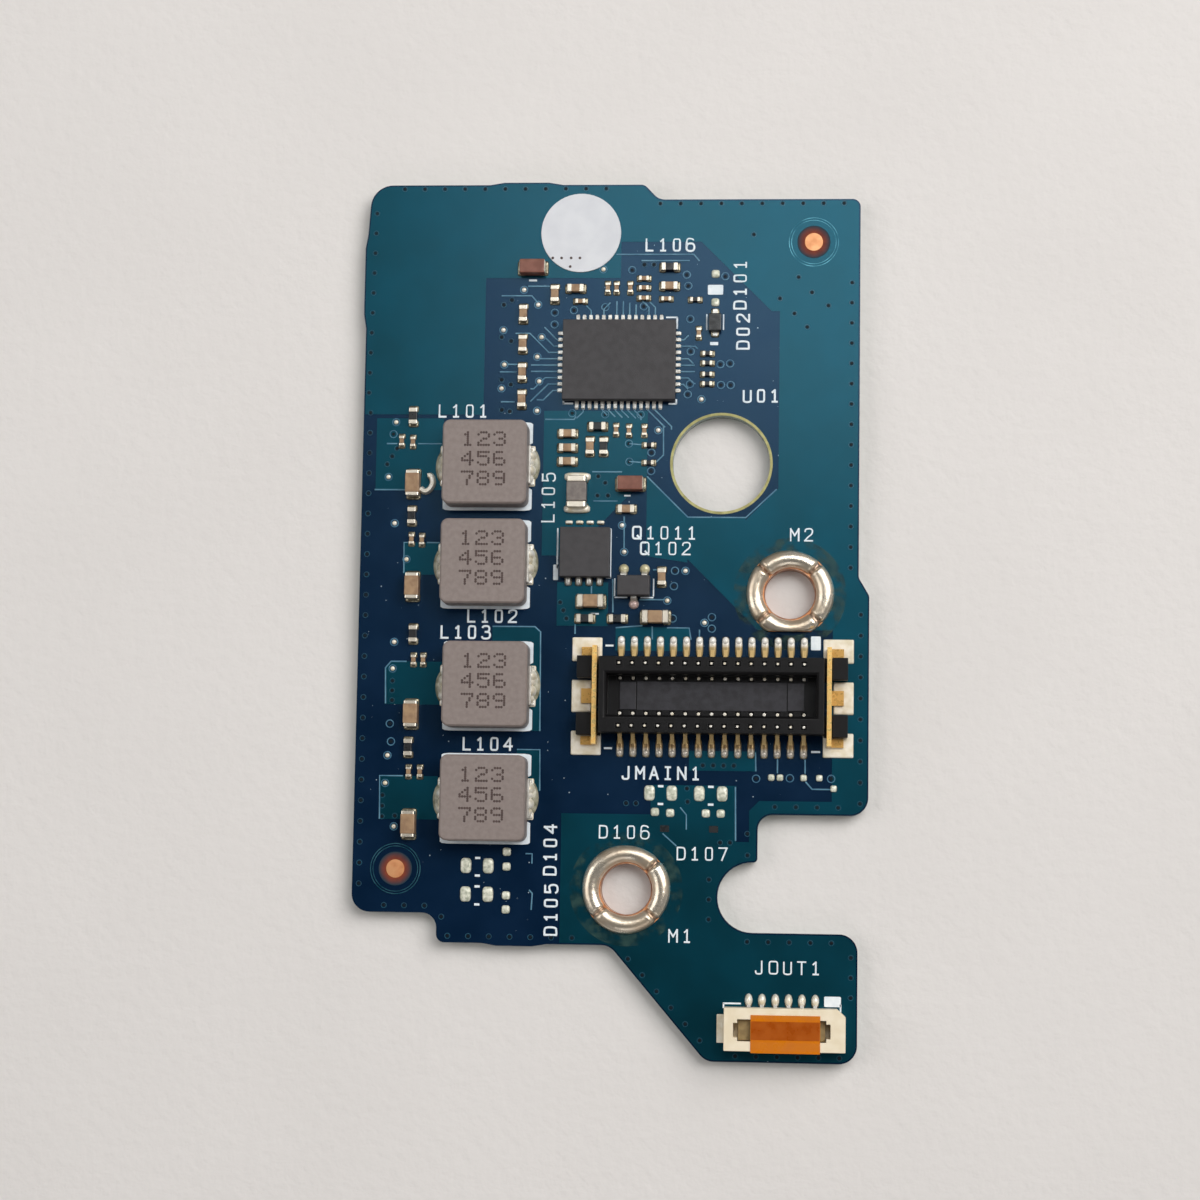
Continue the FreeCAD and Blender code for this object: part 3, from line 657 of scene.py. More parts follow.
def dress(node: str, surface: Surface, edge: float = 0.0, segments: int = 2) -> None:
    """Paint a CAD node and round its edges with live modifiers.

    Args:
        node: The node's name.
        surface: Its finish.
        edge: Width of the rounded edges in millimetres, or none.
        segments: Steps in a rounded edge.
    """
    merge, sharp = 0.001, 30.0
    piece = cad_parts[node]
    piece.data.materials.clear()
    piece.data.materials.append(surface.value.material())
    if edge:
        weld = piece.modifiers.new("weld", "WELD")
        weld.merge_threshold = merge * MM
        bevel = piece.modifiers.new("edges", "BEVEL")
        bevel.width = edge * MM
        bevel.segments = segments
        bevel.limit_method = "ANGLE"
        bevel.angle_limit = math.radians(sharp)
    LOG.info("%s: carried over as %s", node, surface.value.name)


class Masters:
    """Small shapes that repeat, modelled once at the origin in units of one."""

    @staticmethod
    def pillow(corner: float = 0.2, crown: float = 0.3) -> Piece:
        """Model a pad of solder, one unit square and high, with rounded corners and a raised crown.

        Args:
            corner: Radius of its corners.
            crown: Side of its flat top.

        Returns:
            The pad, standing on the ground.
        """
        wall = 0.4
        narrowing = (0.2, 0.5, 1.0)
        rises = (0.35, 0.2, 0.05)
        bpy.ops.mesh.primitive_cube_add(size=1.0)
        piece = Bench.active()
        piece.data.transform(Matrix.Diagonal((1.0, 1.0, wall, 1.0)))
        piece.data.transform(Matrix.Translation((0.0, 0.0, wall / 2)))
        Bench.pick_edges(piece, lambda a, b: abs(a.z - b.z) > wall / 2)
        bpy.ops.mesh.bevel(offset=corner, segments=3, affect="EDGES")
        Bench.done()
        Bench.pick_faces(piece, lambda face: face.normal.z > 0.9)
        sides = [1.0, *(1 - (1 - crown) * part for part in narrowing)]
        for share, rise in zip((b / a for a, b in zip(sides, sides[1:])), rises):
            bpy.ops.mesh.extrude_region_move()
            bpy.ops.transform.resize(value=(share, share, 1.0))
            bpy.ops.transform.translate(value=(0.0, 0.0, rise))
        Bench.done()
        Bench.smooth(piece)
        return piece

    @staticmethod
    def drop(segments: int = 14, rings: int = 10) -> Piece:
        """Model a drop of solder: the upper half of a ball of radius one on a flat foot.

        Args:
            segments: Steps round the drop.
            rings: Steps from pole to pole of the whole ball.

        Returns:
            The drop, standing on the ground.
        """
        bpy.ops.mesh.primitive_uv_sphere_add(segments=segments, ring_count=rings, radius=1.0)
        piece = Bench.active()
        Bench.pick_all(piece)
        bpy.ops.mesh.bisect(plane_co=(0, 0, 0), plane_no=(0, 0, 1), clear_inner=True, use_fill=True)
        Bench.done()
        Bench.smooth(piece)
        return piece

    @staticmethod
    def bar(bevel: float = 0.08) -> Piece:
        """Model a flat bar of ink, one unit each way, with rounded corners.

        Args:
            bevel: Width of the rounded corners.

        Returns:
            The bar, standing on the ground.
        """
        bpy.ops.mesh.primitive_cube_add(size=1.0)
        piece = Bench.active()
        piece.data.transform(Matrix.Translation((0.0, 0.0, 0.5)))
        Bench.pick_edges(piece, lambda a, b: abs(a.z - b.z) > 0.5)
        bpy.ops.mesh.bevel(offset=bevel, segments=2, affect="EDGES")
        Bench.done()
        return piece

    @staticmethod
    def body(width: float, length: float, height: float, edge: float) -> Piece:
        """Model a moulded body in millimetres, with its corners and upper edges broken.

        Args:
            width: Its side along x.
            length: Its side along y.
            height: Its height.
            edge: Width of the broken edges.

        Returns:
            The body, standing on the ground.
        """
        bpy.ops.mesh.primitive_cube_add(size=1.0)
        piece = Bench.active()
        piece.data.transform(Matrix.Diagonal((width, length, height, 1.0)))
        piece.data.transform(Matrix.Translation((0.0, 0.0, height / 2)))
        Bench.pick_edges(piece, lambda a, b: max(a.z, b.z) > height * 0.9)
        bpy.ops.mesh.bevel(offset=edge, segments=2, affect="EDGES")
        Bench.done()
        return piece

    @staticmethod
    def ring(thickness: float, sides: int = 12) -> Piece:
        """Model a raised ring of radius one.

        Args:
            thickness: Radius of its rounded section.
            sides: Steps round the ring.

        Returns:
            The ring, standing on the ground.
        """
        bpy.ops.mesh.primitive_torus_add(major_radius=1.0, minor_radius=thickness, major_segments=sides,
                                         minor_segments=6)
        piece = Bench.active()
        Bench.pick_all(piece)
        bpy.ops.mesh.bisect(plane_co=(0, 0, 0), plane_no=(0, 0, 1), clear_inner=True, use_fill=False)
        bpy.ops.mesh.bridge_edge_loops()
        Bench.done()
        Bench.smooth(piece)
        return piece

    @staticmethod
    def disc(sides: int = 12, rim: float = 0.18) -> Piece:
        """Model a round dot of radius one and height one with a broken upper edge.

        Args:
            sides: Steps round the dot.
            rim: Width of the broken edge.

        Returns:
            The dot, standing on the ground.
        """
        bpy.ops.mesh.primitive_cylinder_add(vertices=sides, radius=1.0, depth=1.0)
        piece = Bench.active()
        piece.data.transform(Matrix.Translation((0.0, 0.0, 0.5)))
        Bench.pick_edges(piece, lambda a, b: min(a.z, b.z) > 0.9)
        bpy.ops.mesh.bevel(offset=rim, segments=1, affect="EDGES")
        Bench.done()
        return piece

    @staticmethod
    def washer(inner: float, outer: float, thickness: float, sides: int = 96) -> Piece:
        """Model a flat ring in millimetres.

        Args:
            inner: Radius of the opening.
            outer: Radius of the rim.
            thickness: Its height.
            sides: Steps round the ring.

        Returns:
            The ring, standing on the ground, in millimetres.
        """
        bpy.ops.mesh.primitive_circle_add(vertices=sides, radius=outer, fill_type="NOTHING")
        piece = Bench.active()
        Bench.pick_all(piece)
        bpy.ops.mesh.extrude_region_move()
        share = inner / outer
        bpy.ops.transform.resize(value=(share, share, 1.0))
        bpy.ops.mesh.select_all(action="SELECT")
        bpy.ops.mesh.normals_make_consistent(inside=False)
        Bench.done()
        if piece.data.polygons[0].normal.z < 0:
            piece.data.flip_normals()
        Bench.apply(piece, "SOLIDIFY", thickness=thickness, offset=1.0)
        return piece


def stroke_mesh(runs: list[list[Point]], width: float, height: float) -> Piece:
    """Draw flat ridges of a round section along open runs. Neighbours differ a little in height where they meet.

    Args:
        runs: The points of each run in millimetres.
        width: The ridge's width.
        height: Its rise above the ground.

    Returns:
        The ridges in millimetres, half sunk in the ground.
    """
    layers, layer_rise = 5, 0.04
    bpy.ops.object.add(type="CURVE")
    piece = Bench.active()
    curve = piece.data
    curve.dimensions = "3D"
    curve.bevel_depth = width / 2
    curve.bevel_resolution = 1
    curve.use_fill_caps = True
    for i, run in enumerate(runs):
        spline = curve.splines.new("POLY")
        spline.points.add(len(run) - 1)
        for point, (x, y) in zip(spline.points, run):
            point.co = (x, y, width * layer_rise * (i % layers), 1.0)
    Bench.select(piece)
    bpy.ops.object.convert(target="MESH")
    piece = Bench.active()
    piece.data.transform(Matrix.Diagonal((1.0, 1.0, 2 * height / width, 1.0)))
    Bench.smooth(piece)
    return piece


@dataclass
class Studio:
    """The pale ground, the soft lights and the camera. Places are in millimetres."""

    camera_place: Triple = (11.176, -16.506, 162.496)
    camera_right: Triple = (0.99731, 0.01577, -0.07160)
    camera_up: Triple = (-0.00802, 0.99421, 0.10719)
    lens: float = 79.386
    sensor: float = 36.0
    ground_reach: float = 900.0
    ground_shade: Rgb = (224, 220, 217)
    ground_patch_shade: Rgb = (222, 218, 215)
    ground_gap: float = 0.02
    horizon: float = 0.2
    zenith: float = 0.03
    sky_range: Range = (0.35, 0.85)
    warm: Triple = (1.0, 0.985, 0.97)
    cool: Triple = (0.96, 0.99, 1.0)

    def build(self) -> None:
        """Set up ground, world, lights and camera."""
        self.ground()
        self.world()
        self.light("window", (5, 145, 350), (120, 160), 0.18, self.cool, (5, 145, 0))
        self.light("key", (290, 205, 400), (420, 420), 2.6, self.warm, (0, 0, 0))
        self.light("fill", (-330, 20, 300), (320, 320), 0.55, self.warm, (0, 0, 0))
        self.light("front", (60, -360, 280), (320, 220), 0.2, self.warm, (0, 0, 0))
        self.camera()
        bpy.context.scene.view_settings.view_transform = "Standard"

    def ground(self) -> None:
        """Lay the pale ground with a faint leather grain."""
        bpy.ops.mesh.primitive_plane_add(size=2 * self.ground_reach * MM, location=(0, 0, -self.ground_gap * MM))
        ground = Bench.active()
        Bench.select(ground)
        bpy.ops.object.transform_apply(location=True, rotation=True, scale=True)
        ground.name = "ground"
        paint = Finish("pale_ground", "", self.ground_shade, self.ground_patch_shade, 14.0, 0.0, (0.7, 0.8),
                       grain=0.8, depth=0.07)
        ground.data.materials.append(paint.material())

    def world(self) -> None:
        """Make a world that is bright round the horizon and dark overhead."""
        world = bpy.data.worlds.new("studio")
        bpy.context.scene.world = world
        world.use_nodes = True
        tree = world.node_tree
        place = tree.nodes.new("ShaderNodeTexCoord")
        split = tree.nodes.new("ShaderNodeSeparateXYZ")
        reach = tree.nodes.new("ShaderNodeMapRange")
        tree.links.new(place.outputs["Generated"], split.inputs[0])
        tree.links.new(split.outputs[2], reach.inputs[0])
        for i, value in enumerate((*self.sky_range, self.horizon, self.zenith), 1):
            reach.inputs[i].default_value = value
        sky = tree.nodes["Background"]
        sky.inputs["Color"].default_value = (*self.warm, 1.0)
        tree.links.new(reach.outputs[0], sky.inputs["Strength"])

    def light(self, name: str, place: Triple, size: Point, power: float, tint: Triple, target: Triple) -> None:
        """Hang a soft rectangular light.

        Args:
            name: The light's name.
            place: Where it hangs.
            size: Its two sides.
            power: Its power in watts.
            tint: Its linear colour.
            target: What it faces.
        """
        lamp = bpy.data.lights.new(name, "AREA")
        lamp.shape = "RECTANGLE"
        lamp.size, lamp.size_y = size[0] * MM, size[1] * MM
        lamp.energy = power
        lamp.color = tint
        holder = bpy.data.objects.new(name, lamp)
        bpy.context.scene.collection.objects.link(holder)
        way = Vector(target) - Vector(place)
        holder.matrix_world = Matrix.Translation(Vector(place) * MM) @ way.to_track_quat("-Z", "Y").to_matrix().to_4x4()

    def camera(self) -> None:
        """Set the camera at the photograph's place."""
        data = bpy.data.cameras.new("camera")
        data.sensor_width = self.sensor
        data.lens = self.lens
        data.clip_start = 0.01
        holder = bpy.data.objects.new("camera", data)
        bpy.context.scene.collection.objects.link(holder)
        right = Vector(self.camera_right).normalized()
        back = right.cross(Vector(self.camera_up)).normalized()
        up = back.cross(right)
        turn = Matrix((right, up, back)).transposed().to_4x4()
        holder.matrix_world = Matrix.Translation(Vector(self.camera_place) * MM) @ turn
        bpy.context.scene.camera = holder


@dataclass
class CopperPours:
    """Broad copper under the mask, cut from the board's own top. Sizes are in millimetres.

    Each area is a convex outline that runs anticlockwise. Where it passes the board's edge, the edge counts.
    """

    thickness: float = 0.02
    edge_gap: float = 0.09
    merge: float = 0.0001
    areas: list[list[Point]] = field(default_factory=lambda: [
        [(-17, 12.35), (-8.15, 12.35), (-8.15, 28), (-17, 28)],
        [(-8.15, 21.0), (0.3, 21.0), (0.3, 28), (-8.15, 28)],
        [(0.3, 23.3), (5.3, 23.3), (5.3, 28), (0.3, 28)],
        [(5.3, 23.3), (10.2, 18.9), (17, 18.9), (17, 28), (5.3, 28)],
        [(10.2, 7.8), (17, 7.8), (17, 18.9), (10.2, 18.9)],
        [(8.2, -0.13), (9.0, -0.95), (17, -0.95), (17, 7.8), (10.2, 7.8), (8.2, 5.97)],
        [(4.65, 3.4), (8.2, -0.13), (8.2, 5.97), (4.65, 5.97)],
        [(2.1, 3.55), (4.65, 3.4), (4.65, 5.97), (2.1, 8.5)],
        [(-4.35, 3.55), (2.1, 3.55), (2.1, 8.5), (3.05, 9.8), (3.05, 12.6), (-4.35, 12.6)],
        [(13.6, -12.6), (17, -12.6), (17, -0.95), (13.6, -0.95)],
        [(8.6, -13.9), (13.6, -13.9), (13.6, -11.4), (9.2, -11.4), (8.6, -12.0)],
        [(-2.85, -28), (17, -28), (17, -13.9), (-2.85, -13.9)],
        [(-2.85, -13.9), (2.6, -13.9), (2.6, -12.3), (-2.85, -12.3)],
        [(2.6, -13.9), (7.8, -13.9), (7.8, -10.5), (2.6, -10.5)],
        [(4.9, -9.6), (9.0, -9.6), (9.0, -8.4), (4.9, -8.4)],
        [(0.3, -2.3), (4.85, -2.3), (4.85, -0.85), (0.3, -0.85)],
        [(-14.8, 7.6), (-10.6, 7.6), (-10.6, 12.1), (-14.8, 12.1)],
        [(-12.9, 2.3), (-10.6, 2.3), (-10.6, 4.3), (-12.9, 4.3)],
        [(-13.9, -5.75), (-10.4, -5.75), (-10.4, -3.1), (-13.6, -3.1), (-13.9, -3.45)],
        [(-14.1, -12.8), (-10.5, -12.8), (-10.5, -10.15), (-14.1, -10.15)],
        [(-7.3, -7.3), (-4.3, -7.3), (-4.3, -1.2), (-4.65, -0.88), (-7.3, -0.88)],
        [(-5.65, -11.0), (-4.22, -11.0), (-4.22, -8.45), (-5.65, -8.45)],
        [(-3.35, -0.8), (-0.2, -0.8), (-0.2, 1.9), (-3.35, 1.9)],
    ])

    def top_sheet(self) -> Piece:
        """Copy the board's top face, held back from every edge.

        Returns:
            The face as an open sheet.
        """
        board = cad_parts["circuit_board"]
        sheet = bpy.data.objects.new("top_sheet", board.data.copy())
        bpy.context.scene.collection.objects.link(sheet)
        Bench.pick_all(sheet)
        bpy.ops.mesh.remove_doubles(threshold=self.merge * MM)
        Bench.done()
        Bench.pick_faces(sheet, lambda face: face.normal.z < 0.9)
        bpy.ops.mesh.delete(type="FACE")
        bpy.ops.mesh.select_all(action="SELECT")
        bpy.ops.mesh.inset(thickness=self.edge_gap * MM, use_boundary=True, use_even_offset=True)
        bpy.ops.mesh.select_all(action="INVERT")
        bpy.ops.mesh.delete(type="FACE")
        Bench.done()
        return sheet

    def cut(self, sheet: Piece, area: list[Point]) -> Piece:
        """Cut one area out of a copy of the sheet.

        Args:
            sheet: The board's top face.
            area: A convex outline.

        Returns:
            The area as a thin plate.
        """
        plate = sheet.copy()
        plate.data = sheet.data.copy()
        bpy.context.scene.collection.objects.link(plate)
        Bench.pick_all(plate)
        for start, end in zip(area, area[1:] + area[:1]):
            along = Vector(end) - Vector(start)
            bpy.ops.mesh.select_all(action="SELECT")
            bpy.ops.mesh.bisect(plane_co=(start[0] * MM, start[1] * MM, 0.0), plane_no=(along.y, -along.x, 0.0),
                                clear_outer=True, use_fill=False, threshold=self.merge * MM)
        Bench.done()
        Bench.apply(plate, "SOLIDIFY", thickness=self.thickness * MM, offset=1.0)
        return plate

    def build(self) -> None:
        """Cut every area and hand them over as one piece."""
        sheet = self.top_sheet()
        plates = [self.cut(sheet, area) for area in self.areas]
        bpy.data.objects.remove(sheet)
        hand_over(Bench.join(plates), "copper_pours", Surface.POUR)


@dataclass(frozen=True)
class FanOut:
    """A track that leaves an amplifier lead: straight out, then slanted, then straight on."""

    lead: int
    run: float
    slant: float = 0.0
    tail: float = 0.0


@dataclass
class Tracks:
    """Fine copper lines under the mask, drawn lighter than the pours as a painted highlight, with light lines along
    some pour outlines as painted edge highlights. Sizes and places are in millimetres.
    """

    width: float = 0.095
    height: float = 0.034
    row_depth: float = 0.1
    shortest: float = 0.01
    left_fans: list[FanOut] = field(default_factory=lambda: [
        FanOut(1, 0.1, 0.8), FanOut(2, 0.3, 0.5), FanOut(3, 0.6, 1.2, 0.9), FanOut(4, 1.2), FanOut(5, 1.7),
        FanOut(6, 1.7), FanOut(7, 0.8, -0.7, 0.2), FanOut(8, 0.6, -1.1), FanOut(9, 0.3, -0.6, 0.4),
    ])
    right_fans: list[FanOut] = field(default_factory=lambda: [
        FanOut(1, 0.2, -0.3), FanOut(2, 0.9, 0.15), FanOut(4, 0.5, 0.3), FanOut(5, 0.9), FanOut(6, 0.9),
        FanOut(7, 0.5, 0.35, 0.1), FanOut(8, 0.2, 0.3),
    ])
    upper_fans: list[FanOut] = field(default_factory=lambda: [
        FanOut(2, 0.3, -0.3), FanOut(4, 0.4, 0.4), FanOut(6, 0.9), FanOut(7, 0.9), FanOut(8, 0.8), FanOut(9, 0.7),
        FanOut(11, 0.5, -0.4, 0.3), FanOut(12, 0.5, -0.5),
    ])
    lower_fans: list[FanOut] = field(default_factory=lambda: [
        FanOut(1, 0.2, -0.4), FanOut(4, 0.1, 0.3), FanOut(5, 0.1, 0.4), FanOut(6, 0.1, 0.45), FanOut(7, 0.1, 0.45),
        FanOut(8, 0.1, 0.5), FanOut(9, 0.1, 0.4, 0.2), FanOut(11, 0.05, 1.1), FanOut(12, 0.0, 1.1, 0.2),
    ])
    # The first ten runs follow pour outlines and paint the highlight on the pours' edges; the rest are tracks.
    runs: list[list[Point]] = field(default_factory=lambda: [
        [(10.1, 7.75), (8.22, 5.98), (4.65, 5.98), (2.1, 8.5)],
        [(-7.3, -0.88), (-4.68, -0.88), (-4.33, -1.2), (-4.27, -7.3)],
        [(-5.65, -8.45), (-4.24, -8.45), (-4.21, -10.95)],
        [(-14.85, 7.6), (-12.9, 7.6)], [(-14.15, 10.5), (-13.5, 10.5)], [(-12.2, 10.5), (-10.7, 10.5)],
        [(-12.9, 2.4), (-12.93, 4.3), (-12.65, 4.3)], [(-11.5, 4.3), (-10.7, 4.3)],
        [(-13.85, -5.7), (-13.9, -3.5), (-13.55, -3.1), (-12.6, -3.1)],
        [(-14.05, -12.8), (-14.1, -10.15), (-12.65, -10.15)],
        [(-7.15, 19.87), (-5.25, 19.87), (-4.84, 19.38)], [(-5.5, 20.48), (-4.1, 20.48)],
        [(-7.17, 15.04), (-6.1, 15.04)], [(-7.07, 13.15), (-6.2, 13.15)], [(-6.7, 15.52), (-6.0, 15.52)],
        [(0.0, 22.5), (4.82, 22.5), (5.18, 22.08)], [(1.57, 22.1), (4.58, 22.1)],
        [(-4.28, 12.06), (-2.48, 12.06), (-2.36, 12.25)], [(3.07, 11.7), (3.1, 9.85), (2.6, 9.35)],
        [(-1.3, 8.78), (0.55, 8.78)], [(-1.2, 6.96), (0.3, 6.96)], [(0.72, 6.0), (0.74, 4.0)],
        [(0.08, 2.1), (0.11, 0.05)], [(-1.24, 1.95), (-1.23, 1.2)], [(1.75, 0.85), (3.3, 0.85)],
        [(2.55, 2.7), (2.95, 2.7)], [(-2.2, -0.7), (-2.2, -1.3)], [(2.55, -0.8), (2.56, -1.6)],
        [(3.45, -0.88), (4.82, -0.88), (4.93, -1.6)], [(0.3, -0.9), (1.95, -0.76)], [(5.45, -0.97), (5.45, -1.5)],
        [(11.96, -8.85), (11.97, -9.7)], [(10.29, -8.85), (10.29, -9.7)],
        [(12.0, -10.2), (12.4, -10.65), (13.65, -10.65)], [(7.75, -10.57), (7.79, -13.84)],
        [(4.4, -11.85), (4.78, -12.3), (4.79, -13.2)], [(3.35, -13.45), (4.2, -14.2)],
        [(8.95, -8.45), (8.98, -9.6)],
        [(-5.0, -14.8), (-4.6, -14.8), (-4.6, -15.4)], [(-4.75, -17.0), (-4.55, -17.2), (-4.6, -18.2)],
        [(2.2, 10.45), (0.96, 10.55)], [(2.2, 9.35), (0.98, 9.43)],
    ])

    def fans(self) -> list[list[Point]]:
        """Work out the tracks that leave the amplifier's four sides.

        Returns:
            One run of points for each track.
        """
        leads = solids("amplifier_leads")
        middle = node_box("amplifier_body").middle
        sides = (
            (self.left_fans, Vector((-1, 0)), Vector((0, 1))), (self.right_fans, Vector((1, 0)), Vector((0, -1))),
            (self.upper_fans, Vector((0, 1)), Vector((1, 0))), (self.lower_fans, Vector((0, -1)), Vector((1, 0))),
        )
        runs = []
        for fans, out, along in sides:
            reach = max((lead.middle - middle).xy.dot(out) for lead in leads)
            row = [lead for lead in leads if (lead.middle - middle).xy.dot(out) > reach - self.row_depth]
            row.sort(key=lambda lead: lead.middle.xy.dot(Vector((out.y * out.y, -out.x * out.x))))
            for fan in fans:
                lead = row[fan.lead]
                tip = lead.middle.xy + out * abs(lead.size.xy.dot(out)) / 2
                bend = tip + out * fan.run
                end = bend + out * abs(fan.slant) + along * fan.slant
                points = [tip, bend, end, end + out * fan.tail]
                longer = [b for a, b in zip(points, points[1:]) if (b - a).length > self.shortest]
                runs.append([tuple(point) for point in (tip, *longer)])
        return runs

    def build(self) -> None:
        """Draw every run as a flat ridge."""
        master = stroke_mesh(self.runs + self.fans(), self.width, self.height)
        piece = Bench.copies(master, [spot(0.0, 0.0, BOARD_TOP + CopperPours.thickness / 2)])
        # Tracks and pour-edge lines share one light colour, a painted highlight.
        hand_over(piece, "tracks", Surface.TRACK)


@dataclass(frozen=True)
class ViaRow:
    """A row of like vias: the first one's place, the step to the next and how many there are."""

    x: float
    y: float
    step_x: float
    step_y: float
    count: int

    def places(self) -> list[Point]:
        """Give every via's place."""
        return [(self.x + i * self.step_x, self.y + i * self.step_y) for i in range(self.count)]


@dataclass
class Vias:
    """Stitching vias along the edges, ring vias among the tracks and vias filled with solder."""

    pit_radius: float = 0.11
    pit_height: float = 0.026
    ring_radius: float = 0.23
    ring_thickness: float = 0.15
    ring_height: float = 0.039
    stitch_radius: float = 0.16
    stitch_height: float = 0.031
    fill_radius: float = 0.15
    fill_height: float = 0.12
    pit_sides: int = 10
    rows: list[ViaRow] = field(default_factory=lambda: [
        ViaRow(-15.23, 12.45, 0.0, -1.27, 24), ViaRow(-15.12, 25.14, -0.027, -1.27, 10),
        ViaRow(-13.4, 26.7, 1.27, 0.0, 11),
        ViaRow(2.7, 25.73, 1.27, 0.0, 10), ViaRow(14.65, 20.7, 0.0, -1.27, 15), ViaRow(15.3, 0.03, 0.0, -1.28, 10),
        ViaRow(-13.65, -18.05, 1.25, 0.0, 3), ViaRow(-9.7, -19.85, 1.27, 0.0, 7), ViaRow(10.15, -11.75, 1.28, 0.0, 4),
        ViaRow(8.55, -19.9, 1.27, 0.0, 5), ViaRow(14.8, -20.75, 0.0, -1.2, 3), ViaRow(1.35, -21.05, 0.88, -0.96, 6),
        ViaRow(7.9, -26.75, 1.25, 0.0, 6), ViaRow(-7.0, 19.3, 0.5, 0.3, 2), ViaRow(-7.1, 17.25, 0.6, -0.25, 2),
        ViaRow(-7.05, 14.55, 0.58, -0.3, 2), ViaRow(-7.0, 12.65, 0.5, -0.1, 2), ViaRow(1.75, 21.85, 0.6, 0.0, 2),
        ViaRow(-0.92, 8.5, 0.44, -0.4, 2), ViaRow(-0.95, 7.3, 0.65, 0.0, 2), ViaRow(5.75, -9.28, 0.63, 0.0, 4),
        ViaRow(1.1, -11.64, 0.6, 0.0, 2), ViaRow(4.8, -10.7, 0.05, -0.8, 2), ViaRow(6.85, -13.95, 0.6, 0.0, 2),
        ViaRow(11.34, 21.05, 0.84, -0.97, 2), ViaRow(10.2, 19.7, 0.9, -0.95, 2), ViaRow(13.2, 19.25, -1.3, -1.35, 2),
        ViaRow(-13.45, -4.3, 0.0, -0.6, 3), ViaRow(-13.9, -11.35, 0.0, -0.65, 3), ViaRow(-13.1, -12.6, -0.1, -0.65, 2),
        ViaRow(-14.1, 9.2, 0.3, 0.5, 3), ViaRow(-10.1, -18.7, 0.0, 0.0, 1), ViaRow(8.5, -13.4, 0.02, -1.3, 2),
        ViaRow(6.2, -16.2, 0.0, -1.2, 3), ViaRow(-3.15, 0.65, 0.2, -0.5, 3), ViaRow(8.55, 23.75, 0.0, 0.0, 1),
    ])
    rings: list[Point] = field(default_factory=lambda: [
        (4.65, 18.4), (4.7, 16.35), (4.68, 14.3), (4.55, 13.65), (-0.65, 19.15), (-2.6, 18.95), (-3.8, 18.05),
        (-3.8, 18.8), (1.0, 21.5), (1.75, 19.2), (6.55, 15.55), (7.15, 15.6), (6.6, 14.25), (7.2, 14.25), (-2.6, 12.45),
        (-0.55, 12.38), (1.65, 12.38), (4.4, 21.2), (4.5, 20.5), (6.8, 21.1), (0.95, 10.55), (2.35, 10.0), (1.0, 9.42),
        (2.35, 8.85), (3.9, 2.65), (3.85, 1.7), (3.8, -0.3), (6.2, -0.2), (6.2, -0.9), (9.0, -10.05), (11.05, -10.0),
        (13.55, -10.0), (-13.75, 11.1), (-13.55, -6.95), (-13.45, -8.05),
    ])
    fills: list[Point] = field(default_factory=lambda: [
        (-5.75, 20.25), (-4.85, 19.3), (-7.0, 17.7), (-4.6, 17.25), (-6.9, 15.5), (-4.85, 16.0), (-7.05, 14.0),
        (-4.7, 14.45), (-4.8, 12.6), (-0.8, 21.55), (0.6, 5.45), (0.75, 3.8), (4.55, 2.65), (3.45, 0.8), (5.75, -0.55),
        (5.4, 13.35), (2.75, 11.4), (-13.6, 11.85), (-14.0, 8.4), (-13.55, 5.5), (-12.75, 3.25), (-13.4, -1.9),
        (-13.65, -8.9), (-13.45, -3.55), (-13.75, -10.6), (-13.15, -13.25),
    ])

    def build(self) -> None:
        """Set down dark pits that paint the shade of the via holes, rings and solder fills."""
        stitched = [place for row in self.rows for place in row.places()]
        for name, surface, radius, height, places in (
                ("via_rings", Surface.RING, self.ring_radius, self.ring_height, self.rings + self.fills),
                ("stitch_rings", Surface.STITCH, self.stitch_radius, self.stitch_height, stitched)):
            size = (radius, radius, height / self.ring_thickness)
            rings = [spot(x, y, BOARD_TOP, 0.0, size) for x, y in places]
            hand_over(Bench.copies(Masters.ring(self.ring_thickness), rings), name, surface)
        # Dark discs paint the shade in each via's hole.
        size = (self.pit_radius, self.pit_radius, self.pit_height)
        pits = [spot(x, y, BOARD_TOP, 0.0, size) for x, y in stitched + self.rings]
        hand_over(Bench.copies(Masters.disc(self.pit_sides), pits), "via_pits", Surface.PIT)
        size = (self.fill_radius, self.fill_radius, self.fill_height)
        fills = [spot(x, y, BOARD_TOP, 0.0, size) for x, y in self.fills]
        hand_over(Bench.copies(Masters.drop(), fills), "solder_filled_vias", Surface.SOLDER)


@dataclass(frozen=True)
class Stroke:
    """A stroke of a letter on a grid 4 units wide and 6 units high, with its corners sharp or rounded."""

    points: tuple[Point, ...]
    rounded: bool = False

    def path(self) -> list[Vector]:
        """Give the stroke's points, with each corner cut twice where they are rounded.

        Returns:
            The points on the letter's grid.
        """
        points = [Vector(point) for point in self.points]
        for _ in range(2 if self.rounded else 0):
            cuts = [a.lerp(b, share) for a, b in zip(points, points[1:]) for share in (0.25, 0.75)]
            points = [points[0], *cuts[1:-1], points[-1]]
        return points


@dataclass(frozen=True)
class Label:
    """A run of letters: its text, the middle of its place, and its turn in degrees."""

    text: str
    x: float
    y: float
    turn: float = 0.0


@dataclass(frozen=True)
class InkBar:
    """A bar of legend ink: its middle and its two sides."""

    x: float
    y: float
    width: float
    height: float


